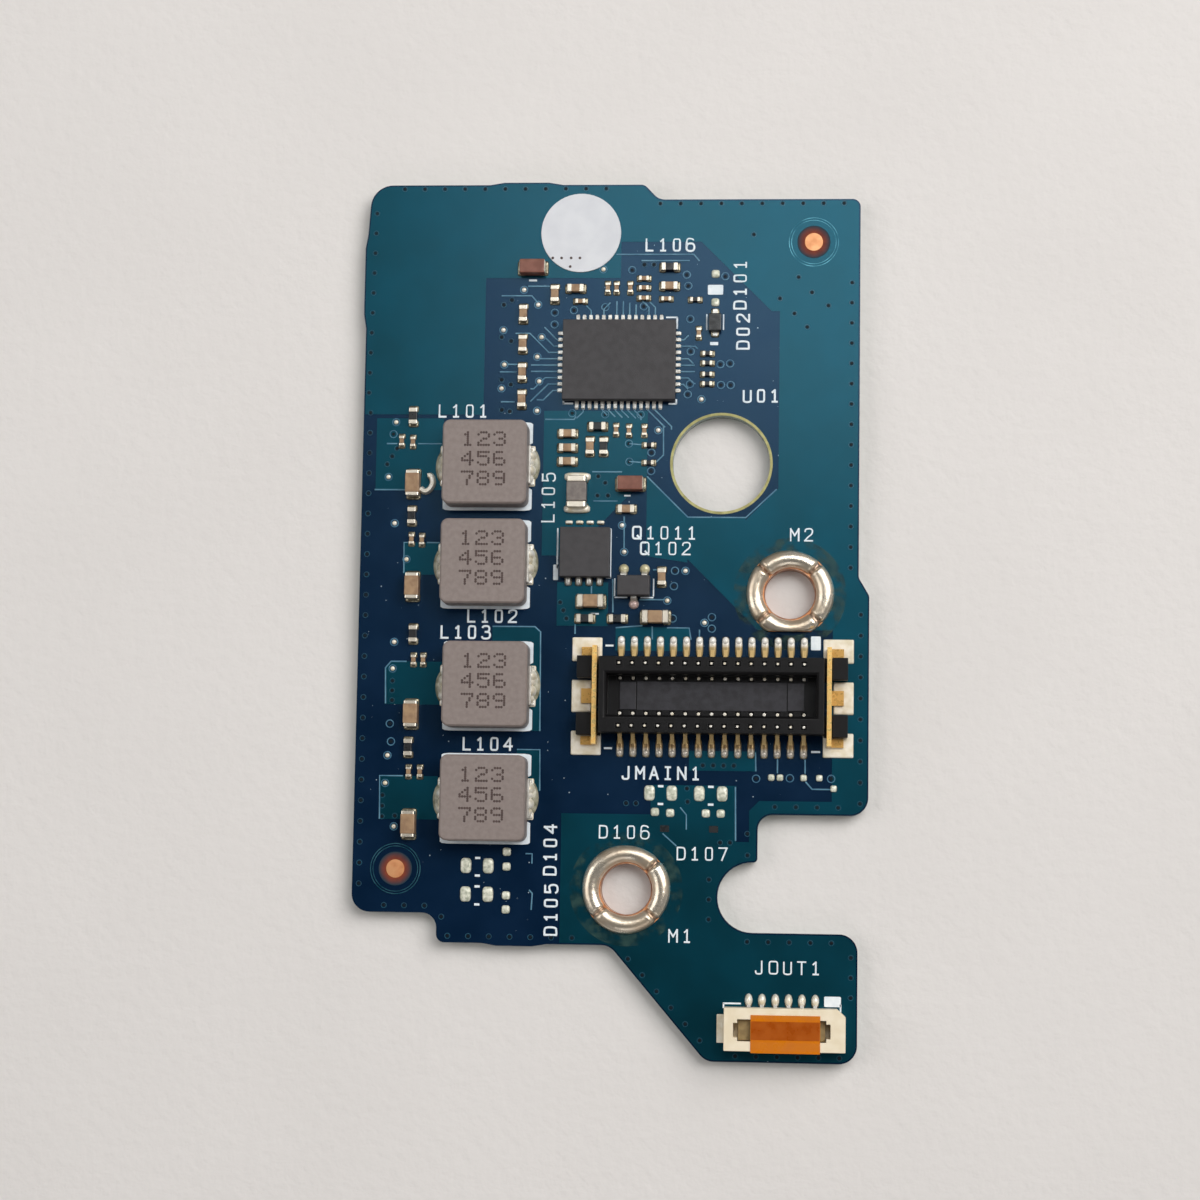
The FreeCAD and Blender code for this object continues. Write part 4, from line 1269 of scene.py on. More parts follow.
@dataclass
class Legend:
    """The white legend: generic designators, corner marks and filled blocks. Sizes are in millimetres."""

    letter_height: float = 0.73
    letter_pitch: float = 0.85
    letter_stroke: float = 0.125
    letter_grid: Point = (4, 6)
    end_share: float = 0.35
    thickness: float = 0.014
    lift: float = 0.018
    mark_thickness: float = 0.042
    labels: list[Label] = field(default_factory=lambda: [
        Label("L101", -9.43, 12.57), Label("L102", -7.36, -0.24), Label("L103", -9.0, -1.25),
        Label("L104", -7.48, -8.13), Label("L106", 3.33, 23.1), Label("L105", -4.0, 7.13, 90),
        Label("D101", 7.72, 20.55, 90),
        Label("D02", 7.93, 17.6, 90), Label("D104", -3.5, -14.55, 90), Label("D105", -3.4, -18.2, 90),
        Label("U01", 9.08, 13.57), Label("Q1011", 3.22, 5.0), Label("Q102", 3.3, 4.03), Label("M2", 11.65, 4.93),
        Label("JMAIN1", 3.2, -9.78), Label("D106", 1.0, -13.4), Label("D107", 5.76, -14.65), Label("M1", 4.49, -19.62),
        Label("JOUT1", 11.0, -21.42),
    ])
    bars: list[InkBar] = field(default_factory=lambda: [
        InkBar(3.5, 18.5, 0.7, 0.1), InkBar(3.84, 18.15, 0.1, 0.75), InkBar(-2.88, 13.06, 0.65, 0.1),
        InkBar(-3.16, 13.15, 0.1, 0.25), InkBar(3.62, 13.06, 0.5, 0.1), InkBar(3.85, 13.2, 0.1, 0.3),
        InkBar(6.2, 20.25, 0.95, 0.62), InkBar(6.15, 16.85, 0.5, 0.2), InkBar(5.68, 18.2, 0.08, 1.0),
        InkBar(6.72, 18.2, 0.08, 1.0), InkBar(-3.37, 4.0, 0.1, 2.5), InkBar(-3.46, 2.5, 0.3, 0.95),
        InkBar(-0.08, 3.65, 0.1, 3.0), InkBar(-0.2, 5.2, 0.3, 0.1), InkBar(-0.2, 2.2, 0.3, 0.1),
        InkBar(0.2, 1.6, 0.08, 1.1), InkBar(2.6, 1.6, 0.08, 1.1), InkBar(0.6, 0.98, 0.8, 0.08),
        InkBar(2.2, 0.98, 0.8, 0.08), InkBar(-0.06, -2.0, 0.5, 0.12), InkBar(-0.06, -8.3, 0.5, 0.12),
        InkBar(12.6, -8.38, 0.55, 0.12), InkBar(12.57, -1.75, 0.6, 0.85), InkBar(7.67, -23.6, 1.1, 0.1),
        InkBar(7.17, -23.75, 0.1, 0.3), InkBar(13.72, -23.4, 1.0, 0.62), InkBar(14.2, -23.8, 0.1, 0.5),
        InkBar(-7.93, -15.1, 0.32, 0.14), InkBar(-7.93, -16.17, 0.32, 0.14), InkBar(-7.93, -16.83, 0.32, 0.14),
        InkBar(-7.93, -17.92, 0.32, 0.14), InkBar(3.2, -10.58, 0.34, 0.14), InkBar(6.26, -10.58, 0.34, 0.14),
        InkBar(3.2, -11.66, 0.34, 0.14), InkBar(6.26, -11.66, 0.34, 0.14), InkBar(-5.2, 20.85, 0.5, 0.12),
        InkBar(0.9, 7.3, 0.4, 0.1), InkBar(-1.0, -0.05, 0.5, 0.1),
    ])
    black_bars: list[InkBar] = field(default_factory=lambda: [
        InkBar(3.47, -13.15, 0.55, 0.4), InkBar(6.45, -13.15, 0.55, 0.4),
    ])
    strokes: dict[str, list[Stroke]] = field(default_factory=lambda: {
        "0": [Stroke(((2, 0), (3.6, 0), (3.6, 3), (3.6, 6), (2, 6), (0.4, 6), (0.4, 3), (0.4, 0), (2, 0)), True)],
        "1": [Stroke(((0.8, 4.9), (2, 6), (2, 0))), Stroke(((0.8, 0), (3.2, 0)))],
        "2": [Stroke(((0.2, 4.4), (0.4, 6), (3.8, 6.2), (4, 3.6), (1.6, 1.8), (0.1, 0)), True),
              Stroke(((0.1, 0), (3.9, 0)))],
        "3": [Stroke(((0.3, 5.2), (0.8, 6.2), (3.8, 6.2), (3.8, 3.3), (1.5, 3.2)), True),
              Stroke(((1.5, 3.2), (4.2, 3.1), (4.2, -0.1), (0.5, -0.3), (0.1, 1)), True)],
        "4": [Stroke(((3, 0), (3, 6), (0, 1.9), (4, 1.9)))],
        "5": [Stroke(((3.7, 6), (0.5, 6), (0.4, 3.3))),
              Stroke(((0.4, 3.3), (3.9, 4.4), (4.3, 0), (0.9, -0.4), (0.1, 0.9)), True)],
        "6": [Stroke(((3.7, 5.3), (3, 6.2), (0.2, 6.4), (0, 3), (0, -0.2), (4, -0.2), (4, 3.7), (0.6, 3.8),
                      (0.1, 2.2)), True)],
        "7": [Stroke(((0.1, 6), (3.9, 6), (1.5, 0)))],
        "A": [Stroke(((0, 0), (2, 6), (4, 0))), Stroke(((0.7, 2), (3.3, 2)))],
        "D": [Stroke(((0.2, 0), (0.2, 6))), Stroke(((0.2, 6), (2.4, 6), (4, 5.6), (4, 0.4), (2.4, 0), (0.2, 0)), True)],
        "I": [Stroke(((2, 0), (2, 6))), Stroke(((0.8, 0), (3.2, 0))), Stroke(((0.8, 6), (3.2, 6)))],
        "J": [Stroke(((3.2, 6), (3.2, 1.6))), Stroke(((3.2, 1.7), (3.2, -0.2), (0.3, -0.2), (0.2, 1.5)), True)],
        "L": [Stroke(((0.4, 6), (0.4, 0))), Stroke(((0.4, 0), (3.7, 0)))],
        "M": [Stroke(((0, 0), (0, 6), (2, 2.6), (4, 6), (4, 0)))],
        "N": [Stroke(((0.1, 0), (0.1, 6), (3.9, 0), (3.9, 6)))],
        "O": [Stroke(((2, 0), (4, 0), (4, 3), (4, 6), (2, 6), (0, 6), (0, 3), (0, 0), (2, 0)), True)],
        "Q": [Stroke(((2, 0), (4, 0), (4, 3), (4, 6), (2, 6), (0, 6), (0, 3), (0, 0), (2, 0)), True),
              Stroke(((2.3, 1.5), (4, -0.2)))],
        "T": [Stroke(((0.1, 6), (3.9, 6))), Stroke(((2, 6), (2, 0)))],
        "U": [Stroke(((0.2, 6), (0.2, 2), (0.2, -0.2), (3.8, -0.2), (3.8, 2), (3.8, 6)), True)],
    })

    def glyph(self, letter: str) -> Piece:
        """Model one letter in round strokes.

        Args:
            letter: The letter.

        Returns:
            Its mesh in millimetres, with its middle at the origin.
        """
        cell = self.letter_height / self.letter_grid[1]
        middle = Vector(self.letter_grid) / 2
        reach = self.letter_stroke * self.end_share
        runs = []
        for stroke in self.strokes[letter]:
            path = [(point - middle) * cell for point in stroke.path()]
            if stroke.rounded:
                runs.append([tuple(point) for point in path])
                continue
            for start, end in zip(path, path[1:]):
                spare = (end - start).normalized() * reach
                runs.append([tuple(start - spare), tuple(end + spare)])
        return stroke_mesh(runs, self.letter_stroke, self.thickness + self.lift / 2)

    def letters(self) -> list[Piece]:
        """Model each letter once and copy it to all its places.

        Returns:
            One piece for each kind of letter.
        """
        places: dict[str, list[Matrix]] = {}
        for label in self.labels:
            base = spot(label.x, label.y, BOARD_TOP + self.lift / 2, label.turn)
            start = -(len(label.text) - 1) / 2
            for i, letter in enumerate(label.text):
                shift = Matrix.Translation(((start + i) * self.letter_pitch, 0.0, 0.0))
                places.setdefault(letter, []).append(base @ shift)
        return [Bench.copies(self.glyph(letter), spots) for letter, spots in places.items()]

    def build(self) -> None:
        """Print letters and bars."""
        hand_over(Bench.join(self.letters()), "legend_letters", Surface.INK)
        bars = [spot(bar.x, bar.y, BOARD_TOP, 0.0, (bar.width, bar.height, self.lift + self.thickness))
                for bar in self.bars]
        hand_over(Bench.copies(Masters.bar(), bars), "legend_bars", Surface.INK)
        marks = [spot(bar.x, bar.y, BOARD_TOP, 0.0, (bar.width, bar.height, self.lift + self.mark_thickness))
                 for bar in self.black_bars]
        hand_over(Bench.copies(Masters.bar(), marks), "black_marks", Surface.GLAZE)


@dataclass
class Board:
    """The board itself, its large hole and its alignment dots. Sizes are in millimetres."""

    hole_place: Point = (6.68, 9.34)
    hole_radius: float = 3.0
    rim_width: float = 0.16
    rim_height: float = 0.024
    dot_radius: float = 0.56
    dot_rim: float = 0.06
    dot_sides: int = 32
    scorch_radius: float = 1.03
    scorch_overlap: float = 0.05
    scorch_height: float = 0.006
    scorch_sides: int = 48
    halo_radii: Point = (1.38, 1.53)
    halo_thickness: float = 0.022
    halo_height: float = 1.5
    halo_sides: int = 56
    edge: float = 0.07

    def scorch(self) -> Piece:
        """Model the browned ring round a dot, with an attribute that grows towards its rim.

        Returns:
            The ring, standing on the ground, in millimetres.
        """
        inner = self.dot_radius - self.scorch_overlap
        thickness = CopperPours.thickness + self.scorch_height
        ring = Masters.washer(inner, self.scorch_radius, thickness, self.scorch_sides)
        stained = ring.data.attributes.new("stained", "FLOAT", "POINT")
        for vertex in ring.data.vertices:
            stained.data[vertex.index].value = (vertex.co.xy.length - inner) / (self.scorch_radius - inner)
        return ring

    def build(self) -> None:
        """Dress the board and add rim, dots and halos."""
        # The rounded upper edges take the laminate colour as a painted highlight.
        dress("circuit_board", Surface.BASE, self.edge)
        rim = Masters.washer(self.hole_radius, self.hole_radius + self.rim_width, self.rim_height)
        rim = Bench.copies(rim, [spot(*self.hole_place)])
        hand_over(rim, "large_hole_rim", Surface.BARE)
        dots = solids("fiducial_dots")
        size = (self.dot_radius, self.dot_radius, dots[0].size.z)
        places = [spot(*dot.middle.xy, BOARD_TOP, 0.0, size) for dot in dots]
        tops = Bench.copies(Masters.disc(self.dot_sides, self.dot_rim), places)
        hand_over(tops, "alignment_dots", Surface.COPPER, ["fiducial_dots"])
        rings = Bench.copies(self.scorch(), [spot(*dot.middle.xy) for dot in dots])
        hand_over(rings, "alignment_rings", Surface.SCORCH)
        places = [spot(*dot.middle.xy, BOARD_TOP, 0.0, (radius, radius, self.halo_height))
                  for dot in dots for radius in self.halo_radii]
        halos = Bench.copies(Masters.ring(self.halo_thickness, self.halo_sides), places)
        hand_over(halos, "alignment_halos", Surface.HALO)


@dataclass
class ScrewHoles:
    """Solder rings, copper lips and stains round the two screw holes. Sizes are in millimetres."""

    outer_radius: float = 2.68
    tube_radius: float = 0.53
    height: float = 0.46
    groove_half_angle: float = 6.5
    groove_depth: float = 0.5
    groove_squeeze: float = 0.16
    groove_stain: float = 0.85
    stain_fall: float = 1.5
    swell: float = 0.05
    swells: int = 3
    swell_turn: float = 40.0
    stain_width: float = 0.8
    stain_overlap: float = 0.1
    stain_rise: float = 0.006
    lip_thickness: float = 0.07
    lip_rise: float = 0.06
    lip_roll: float = 0.4
    lip_steps: int = 72
    flat: float = 2.3
    flat_wave: float = 0.02
    flat_waves: int = 5
    slack: float = 0.1
    steps: int = 160
    section_steps: int = 28
    grooves: dict[int, tuple[float, ...]] = field(default_factory=lambda: {
        1: (42.0, -44.0, -140.0), 2: (46.0, 137.0, -138.0, -44.0),
    })

    def centre(self, number: int) -> tuple[Vector, float]:
        """Find a screw hole's middle and its land's radius.

        Args:
            number: 1 or 2.

        Returns:
            The middle and the radius.
        """
        land = node_box(f"screw_land_{number}")
        radius = land.size.x / 2
        return Vector((land.middle.x, land.high.y - radius)), radius

    def ring(self, number: int) -> Piece:
        """Model one solder ring, sunk at its grooves and flat on the side where its land is.

        Args:
            number: 1 or 2.

        Returns:
            The ring, in place.
        """
        centre, _ = self.centre(number)
        solder = node_box(f"solder_ring_{number}")
        has_flat = solder.size.y < solder.size.x - self.slack
        middle = self.outer_radius - self.tube_radius
        bpy.ops.mesh.primitive_torus_add(major_radius=middle, minor_radius=self.tube_radius,
                                         major_segments=self.steps, minor_segments=self.section_steps)
        piece = Bench.active()
        Bench.pick_all(piece)
        bpy.ops.mesh.bisect(plane_co=(0, 0, 0), plane_no=(0, 0, 1), clear_inner=True, use_fill=False)
        bpy.ops.mesh.bridge_edge_loops()
        Bench.done()
        stained = piece.data.attributes.new("stained", "FLOAT", "POINT")
        for vertex in piece.data.vertices:
            angle = math.degrees(math.atan2(vertex.co.y, vertex.co.x))
            away = min(abs((angle - at + 180) % 360 - 180) for at in self.grooves[number])
            share = min(1.0, away / self.groove_half_angle)
            rise = share * share * (3 - 2 * share)
            stained.data[vertex.index].value = max(0.0, 1 - self.stain_fall * share) * self.groove_stain
            swell = 1 + self.swell * math.sin(math.radians(self.swells * angle + self.swell_turn * number))
            reach = middle + (vertex.co.xy.length - middle) * (1 - self.groove_squeeze * (1 - rise)) * swell
            x, y = vertex.co.xy.normalized() * reach
            z = vertex.co.z / self.tube_radius * self.height * swell * (1 - self.groove_depth * (1 - rise))
            if has_flat:
                y = max(y, -self.flat + self.flat_wave * math.sin(math.radians(self.flat_waves * angle)))
            vertex.co = (x, y, z)
        Bench.smooth(piece, 70)
        return Bench.copies(piece, [spot(*centre, solder.low.z)])

    def lip(self, centre: Vector, number: int) -> Piece:
        """Model the plated wall of a hole, rolled over its upper edge.

        Args:
            centre: The hole's middle.
            number: 1 or 2.

        Returns:
            The lip, in place.
        """
        inner = min(math.hypot(v.co.x / MM - centre.x, v.co.y / MM - centre.y)
                    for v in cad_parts[f"screw_land_{number}"].data.vertices)
        depth = BOARD_TOP + self.lip_rise
        bpy.ops.mesh.primitive_cylinder_add(vertices=self.lip_steps, radius=inner, depth=depth,
                                            end_fill_type="NOTHING")
        piece = Bench.active()
        piece.data.transform(Matrix.Translation((0.0, 0.0, depth / 2)))
        piece.data.flip_normals()
        Bench.apply(piece, "SOLIDIFY", thickness=self.lip_thickness, offset=1.0)
        Bench.pick_edges(piece, lambda a, b: min(a.z, b.z) > depth - 0.001)
        bpy.ops.mesh.bevel(offset=self.lip_thickness * self.lip_roll, segments=2, affect="EDGES")
        Bench.done()
        Bench.smooth(piece, 40)
        return Bench.copies(piece, [spot(*centre, 0.0)])

    def build(self) -> None:
        """Make both rings with their lips and stains, and dress their lands."""
        for number in (1, 2):
            centre, radius = self.centre(number)
            dress(f"screw_land_{number}", Surface.COPPER)
            hand_over(self.ring(number), f"solder_doughnut_{number}", Surface.DOUGHNUT, [f"solder_ring_{number}"])
            hand_over(self.lip(centre, number), f"plated_wall_{number}", Surface.LIP)
            stain = Masters.washer(radius - self.stain_overlap, radius + self.stain_width,
                                   CopperPours.thickness + self.stain_rise)
            hand_over(Bench.copies(stain, [spot(*centre)]), f"flux_stain_{number}", Surface.STAIN)


@dataclass
class SolderPads:
    """Solder on every land, raised in the middle, and on the pads that carry nothing."""

    spare: float = 0.03
    steepness: float = 0.32
    highest: float = 0.13
    bare_height: float = 0.16
    bare_corner: float = 0.28
    fine_width: float = 0.25
    plate_area: float = 2.0
    mosfet_share: float = 0.35
    mosfet_reach: Range = (-0.3, 0.5)

    def trimmed(self, land: Box) -> Box:
        """Shorten a land above the power transistor to the part that shows past the body.

        Args:
            land: The land's box.

        Returns:
            The shorter box, or the same one elsewhere.
        """
        body = node_box("mosfet_body")
        least, most = self.mosfet_reach
        above = least < land.middle.y - body.high.y < most
        if not (above and body.low.x < land.middle.x < body.high.x):
            return land
        return Box(Vector((land.low.x, land.high.y - self.mosfet_share * land.size.y, land.low.z)), land.high)

    def kind(self, land: Box) -> Surface:
        """Choose the solder for a land: bright on fine leads, cream on broad plates, and elsewhere shiny solder whose
        colour is darkened as a painted dark reflection.

        Args:
            land: The land's box.

        Returns:
            The finish.
        """
        width, length = land.size.xy
        if width * length > self.plate_area:
            return Surface.CREAM
        return Surface.SOLDER if min(width, length) < self.fine_width else Surface.WET

    def build(self) -> None:
        """Model one pad of each kind and copy it to its lands."""
        lands = solids("solder_lands")
        for surface, name, corner, crown, replaced in (
                (Surface.CREAM, "solder_plates", 0.05, 0.86, ["solder_lands"]),
                (Surface.SOLDER, "fine_solder_pads", 0.2, 0.3, []),
                (Surface.WET, "chip_solder_pads", 0.2, 0.3, [])):
            pads = []
            for land in lands:
                if self.kind(land) is surface:
                    land = self.trimmed(land)
                    width, length = land.size.xy
                    height = min(self.highest, self.steepness * min(width, length))
                    pads.append(spot(land.middle.x, land.middle.y, land.low.z, 0.0,
                                     (width + self.spare, length + self.spare, height)))
            hand_over(Bench.copies(Masters.pillow(corner, crown), pads), name, surface, replaced)
        places = [spot(pad.middle.x, pad.middle.y, pad.low.z, 0.0, (pad.size.x, pad.size.y, self.bare_height))
                  for pad in solids("bare_pads")]
        bare = Bench.copies(Masters.pillow(self.bare_corner), places)
        hand_over(bare, "bare_solder_pads", Surface.MATT, ["bare_pads"])


@dataclass
class Chips:
    """Chip components, carried over with rounded edges. Sizes are in millimetres."""

    edge: float = 0.03
    large_edge: float = 0.06
    bead_edge: float = 0.14
    shell_spare: float = 0.07
    shell_rise: float = 0.04
    brown_share: float = 0.97
    tan_share: float = 0.76
    shelled: tuple[int, ...] = (1, 2)
    fillet: Triple = (1.62, 0.52, 0.34)
    fillet_corner: float = 0.3
    dark_place: Point = (-12.5, 12.2)

    def shells(self, kind: str, numbers: Iterable[int], share: float) -> Piece:
        """Model the ceramic that reaches past the inner edges of the terminals.

        Args:
            kind: The first words of the nodes' names.
            numbers: Which of them are covered.
            share: How much of their length is covered.

        Returns:
            The shells.
        """
        made = []
        for number in numbers:
            chip = node_box(f"{kind}_terminals_{number}")
            width, length, height = chip.size
            if width > length:
                width, length = width * share, length + self.shell_spare
            else:
                width, length = width + self.shell_spare, length * share
            shell = Masters.body(width, length, height + self.shell_rise, self.large_edge)
            made.append(Bench.copies(shell, [spot(*chip.middle.xy, chip.low.z)]))
        return Bench.join(made)

    def build(self) -> None:
        """Dress bodies and terminals."""
        for size in ("small", "medium"):
            dress(f"{size}_capacitor_bodies", Surface.TAN, self.edge)
            dress(f"{size}_resistor_bodies", Surface.GLAZE, self.edge)
            dress(f"{size}_capacitor_terminals", Surface.TERMINAL, self.edge)
            dress(f"{size}_resistor_terminals", Surface.TERMINAL, self.edge)
        for number in range(1, 5):
            dress(f"filter_capacitor_body_{number}", Surface.TAN, self.large_edge)
            dress(f"filter_capacitor_terminals_{number}", Surface.TERMINAL, self.large_edge)
            ceramic = Surface.BROWN if number in self.shelled else Surface.TAN
            dress(f"bulk_capacitor_body_{number}", ceramic, self.large_edge)
            dress(f"bulk_capacitor_terminals_{number}", Surface.TERMINAL, self.large_edge)
        hand_over(self.shells("bulk_capacitor", self.shelled, self.brown_share), "bulk_capacitor_shells", Surface.BROWN)
        hand_over(self.shells("filter_capacitor", range(1, 5), self.tan_share), "filter_capacitor_shells", Surface.TAN)
        place = Vector(self.dark_place)
        dark = min(solids("medium_capacitor_bodies"), key=lambda body: (body.middle.xy - place).length)
        cover = Masters.body(dark.size.x + self.shell_rise, dark.size.y, dark.size.z + self.shell_rise, self.edge)
        cover = Bench.copies(cover, [spot(*dark.middle.xy, dark.low.z)])
        hand_over(cover, "dark_chip_shell", Surface.GLAZE)
        dress("ferrite_bead_body", Surface.FERRITE, self.large_edge)
        dress("ferrite_bead_terminals", Surface.TERMINAL, self.bead_edge, 3)
        bead = node_box("ferrite_bead_terminals")
        places = [spot(bead.middle.x, y, BOARD_TOP, 0.0, self.fillet) for y in (bead.low.y, bead.high.y)]
        ends = Bench.copies(Masters.pillow(self.fillet_corner), places)
        hand_over(ends, "ferrite_bead_solder", Surface.SOLDER)


@dataclass
class LeadedParts:
    """Amplifier, power transistor, small transistor and diode. Sizes are in millimetres."""

    edge: float = 0.025
    amplifier_size: Point = (7.0, 5.02)
    amplifier_shift: Point = (0.03, 0.01)
    mosfet_size: Point = (3.08, 3.06)
    mosfet_shift: Point = (0.07, 0.02)
    diode_size: Point = (0.78, 1.1)
    diode_shift: Point = (0.0, -0.04)
    body_edge: float = 0.05
    lower_lead: Triple = (0.34, 0.62, 0.3)
    lower_shift: float = 0.03
    upper_lead: Triple = (0.46, 0.2, 0.12)
    lead_corner: float = 0.3
    blob_radius: float = 0.31
    blob_height: float = 0.28
    blob_inset: float = 0.04
    blob_steps: tuple[int, int] = (20, 12)

    def body(self, part: str, size: Point, shift: Point, surface: Surface = Surface.EPOXY) -> None:
        """Model a moulded body in place of a CAD node.

        Args:
            part: The part's name.
            size: The body's two sides.
            shift: How far its middle is from the node's.
            surface: Its finish.
        """
        node = node_box(f"{part}_body")
        piece = Masters.body(*size, node.size.z, self.body_edge)
        piece = Bench.copies(piece, [spot(node.middle.x + shift[0], node.middle.y + shift[1], node.low.z)])
        hand_over(piece, f"{part}_moulding", surface, [f"{part}_body"])

    def mosfet_leads(self) -> None:
        """Model the power transistor's long lower leads and the tips that show above it."""
        body = node_box("mosfet_body")
        leads = solids("mosfet_leads")
        places = [spot(lead.middle.x, lead.middle.y - self.lower_shift, BOARD_TOP, 0.0, self.lower_lead)
                  for lead in leads if lead.middle.y < body.middle.y]
        lower = Bench.copies(Masters.pillow(self.lead_corner), places)
        hand_over(lower, "mosfet_lower_leads", Surface.TIN, ["mosfet_leads"])
        places = [spot(lead.middle.x, lead.high.y, BOARD_TOP, 0.0, self.upper_lead)
                  for lead in leads if lead.middle.y > body.middle.y]
        upper = Bench.copies(Masters.pillow(self.lead_corner), places)
        hand_over(upper, "mosfet_upper_leads", Surface.SOLDER)

    def blobs(self) -> None:
        """Model the round solder on the small transistor's leads."""
        body = node_box("transistor_body")
        size = (self.blob_radius, self.blob_radius, self.blob_height)
        above = []
        below = []
        for lead in solids("transistor_leads"):
            if lead.middle.y > body.middle.y:
                above.append(spot(lead.middle.x, lead.high.y - self.blob_inset, BOARD_TOP, 0.0, size))
            else:
                below.append(spot(lead.middle.x, lead.low.y + self.blob_inset, BOARD_TOP, 0.0, size))
        hand_over(Bench.copies(Masters.drop(*self.blob_steps), above), "transistor_solder_above", Surface.OLIVE)
        hand_over(Bench.copies(Masters.drop(*self.blob_steps), below), "transistor_solder_below", Surface.PINK)

    def build(self) -> None:
        """Make the bodies and solder, and dress the leads."""
        self.body("amplifier", self.amplifier_size, self.amplifier_shift)
        self.body("mosfet", self.mosfet_size, self.mosfet_shift)
        self.body("diode", self.diode_size, self.diode_shift, Surface.GLAZE)
        self.mosfet_leads()
        self.blobs()
        dress("amplifier_leads", Surface.TIN, self.edge)
        dress("transistor_body", Surface.EPOXY, self.edge)
        for part in ("transistor", "diode"):
            dress(f"{part}_leads", Surface.TIN, self.edge)


@dataclass(frozen=True)
class Lump:
    """A lump of solder on an inductor's end: its place along the end, its reach, half its length and its height."""

    along: float
    reach: float
    half_length: float
    height: float


@dataclass
class Inductors:
    """Moulded inductors with dotted marks, printed corners and solder at their ends. Sizes are in millimetres."""

    count: int = 4
    edge: float = 0.09
    terminal_edge: float = 0.05
    rows: tuple[str, ...] = ("123", "456", "789")
    digit_pitch: float = 0.98
    row_pitch: float = 1.22
    dot_pitch_x: float = 0.16
    dot_pitch_y: float = 0.13
    dot_radius: float = 0.085
    dot_height: float = 0.004
    dot_rim: float = 0.2
    dot_sides: int = 6
    marks_shift: Point = (-0.06, 0.18)
    print_side: float = 5.54
    print_gap: float = 2.7
    print_thickness: float = 0.032
    lumps: tuple[Lump, ...] = (Lump(-0.78, 0.3, 0.36, 0.55), Lump(-0.3, 0.44, 0.42, 0.78), Lump(0.25, 0.36, 0.34, 0.66),
                               Lump(0.62, 0.46, 0.4, 0.74), Lump(0.98, 0.24, 0.2, 0.4))
    lump_steps: tuple[int, int] = (24, 14)
    flux: Lump = Lump(0.08, 0.66, 1.15, 0.3)
    flux_steps: tuple[int, int] = (32, 14)
    curl_width: float = 0.4
    curl_rise: float = 0.1
    curl: Stroke = Stroke(((-11.95, 7.65), (-11.6, 7.4), (-11.15, 7.9), (-11.3, 8.5), (-11.5, 8.45)), True)
    dots: dict[str, str] = field(default_factory=lambda: {
        "1": "..#.. .##.. ..#.. ..#.. ..#.. ..#.. .###.", "2": ".###. #...# ....# ..##. .#... #.... #####",
        "3": ".###. #...# ....# ..##. ....# #...# .###.", "4": "...#. ..##. .#.#. #..#. ##### ...#. ...#.",
        "5": "##### #.... ####. ....# ....# #...# .###.", "6": ".###. #.... #.... ####. #...# #...# .###.",
        "7": "##### ....# ...#. ...#. ..#.. ..#.. ..#..", "8": ".###. #...# #...# .###. #...# #...# .###.",
        "9": ".###. #...# #...# .#### ....# ....# .###.",
    })

    def dot_places(self, body: Box) -> list[Matrix]:
        """Work out where the dots of the marks lie on one inductor.

        Args:
            body: The inductor's box.

        Returns:
            A place for each dot.
        """
        size = (self.dot_radius, self.dot_radius, self.dot_height)
        places = []
        for i, row in enumerate(self.rows):
            for j, digit in enumerate(row):
                x = body.middle.x + self.marks_shift[0] + (j - 1) * self.digit_pitch
                y = body.middle.y + self.marks_shift[1] + (1 - i) * self.row_pitch
                for down, line in enumerate(self.dots[digit].split()):
                    for across, dot in enumerate(line):
                        if dot == "#":
                            places.append(spot(x + (across - 2) * self.dot_pitch_x, y + (3 - down) * self.dot_pitch_y,
                                               body.high.z, 0.0, size))
        return places

    def build(self) -> None:
        """Dress the bodies and add marks, prints and solder."""
        bodies = [node_box(f"inductor_body_{number}") for number in range(1, self.count + 1)]
        dots = [place for body in bodies for place in self.dot_places(body)]
        hand_over(Bench.copies(Masters.disc(self.dot_sides, self.dot_rim), dots), "inductor_marks", Surface.MARK)
        bars = []
        solder = []
        flux = []
        bar_height = (self.print_side - self.print_gap) / 2
        bar_shift = (self.print_side - bar_height) / 2
        for body in bodies:
            x, y = body.middle.xy
            for sign in (-1, 1):
                bars.append(spot(x, y + sign * bar_shift, BOARD_TOP, 0.0,
                                 (self.print_side, bar_height, self.print_thickness)))
                for places, lumps in ((solder, self.lumps), (flux, (self.flux,))):
                    places += [spot(x + sign * body.size.x / 2, y + sign * lump.along, BOARD_TOP, 0.0,
                                    (lump.reach, lump.half_length, lump.height)) for lump in lumps]
        hand_over(Bench.copies(Masters.bar(), bars), "inductor_prints", Surface.INK)
        hand_over(Bench.copies(Masters.drop(*self.lump_steps), solder), "inductor_solder", Surface.SOLDER)
        hand_over(Bench.copies(Masters.drop(*self.flux_steps), flux), "inductor_flux", Surface.FLUX)
        curl = Bench.copies(stroke_mesh([list(map(tuple, self.curl.path()))], self.curl_width, self.curl_width),
                            [spot(0.0, 0.0, BOARD_TOP + self.curl_rise)])
        hand_over(curl, "solder_curl", Surface.SOLDER)
        for number in range(1, self.count + 1):
            dress(f"inductor_body_{number}", Surface.POWDER, self.edge, 3)
            dress(f"inductor_terminals_{number}", Surface.TIN, self.terminal_edge)


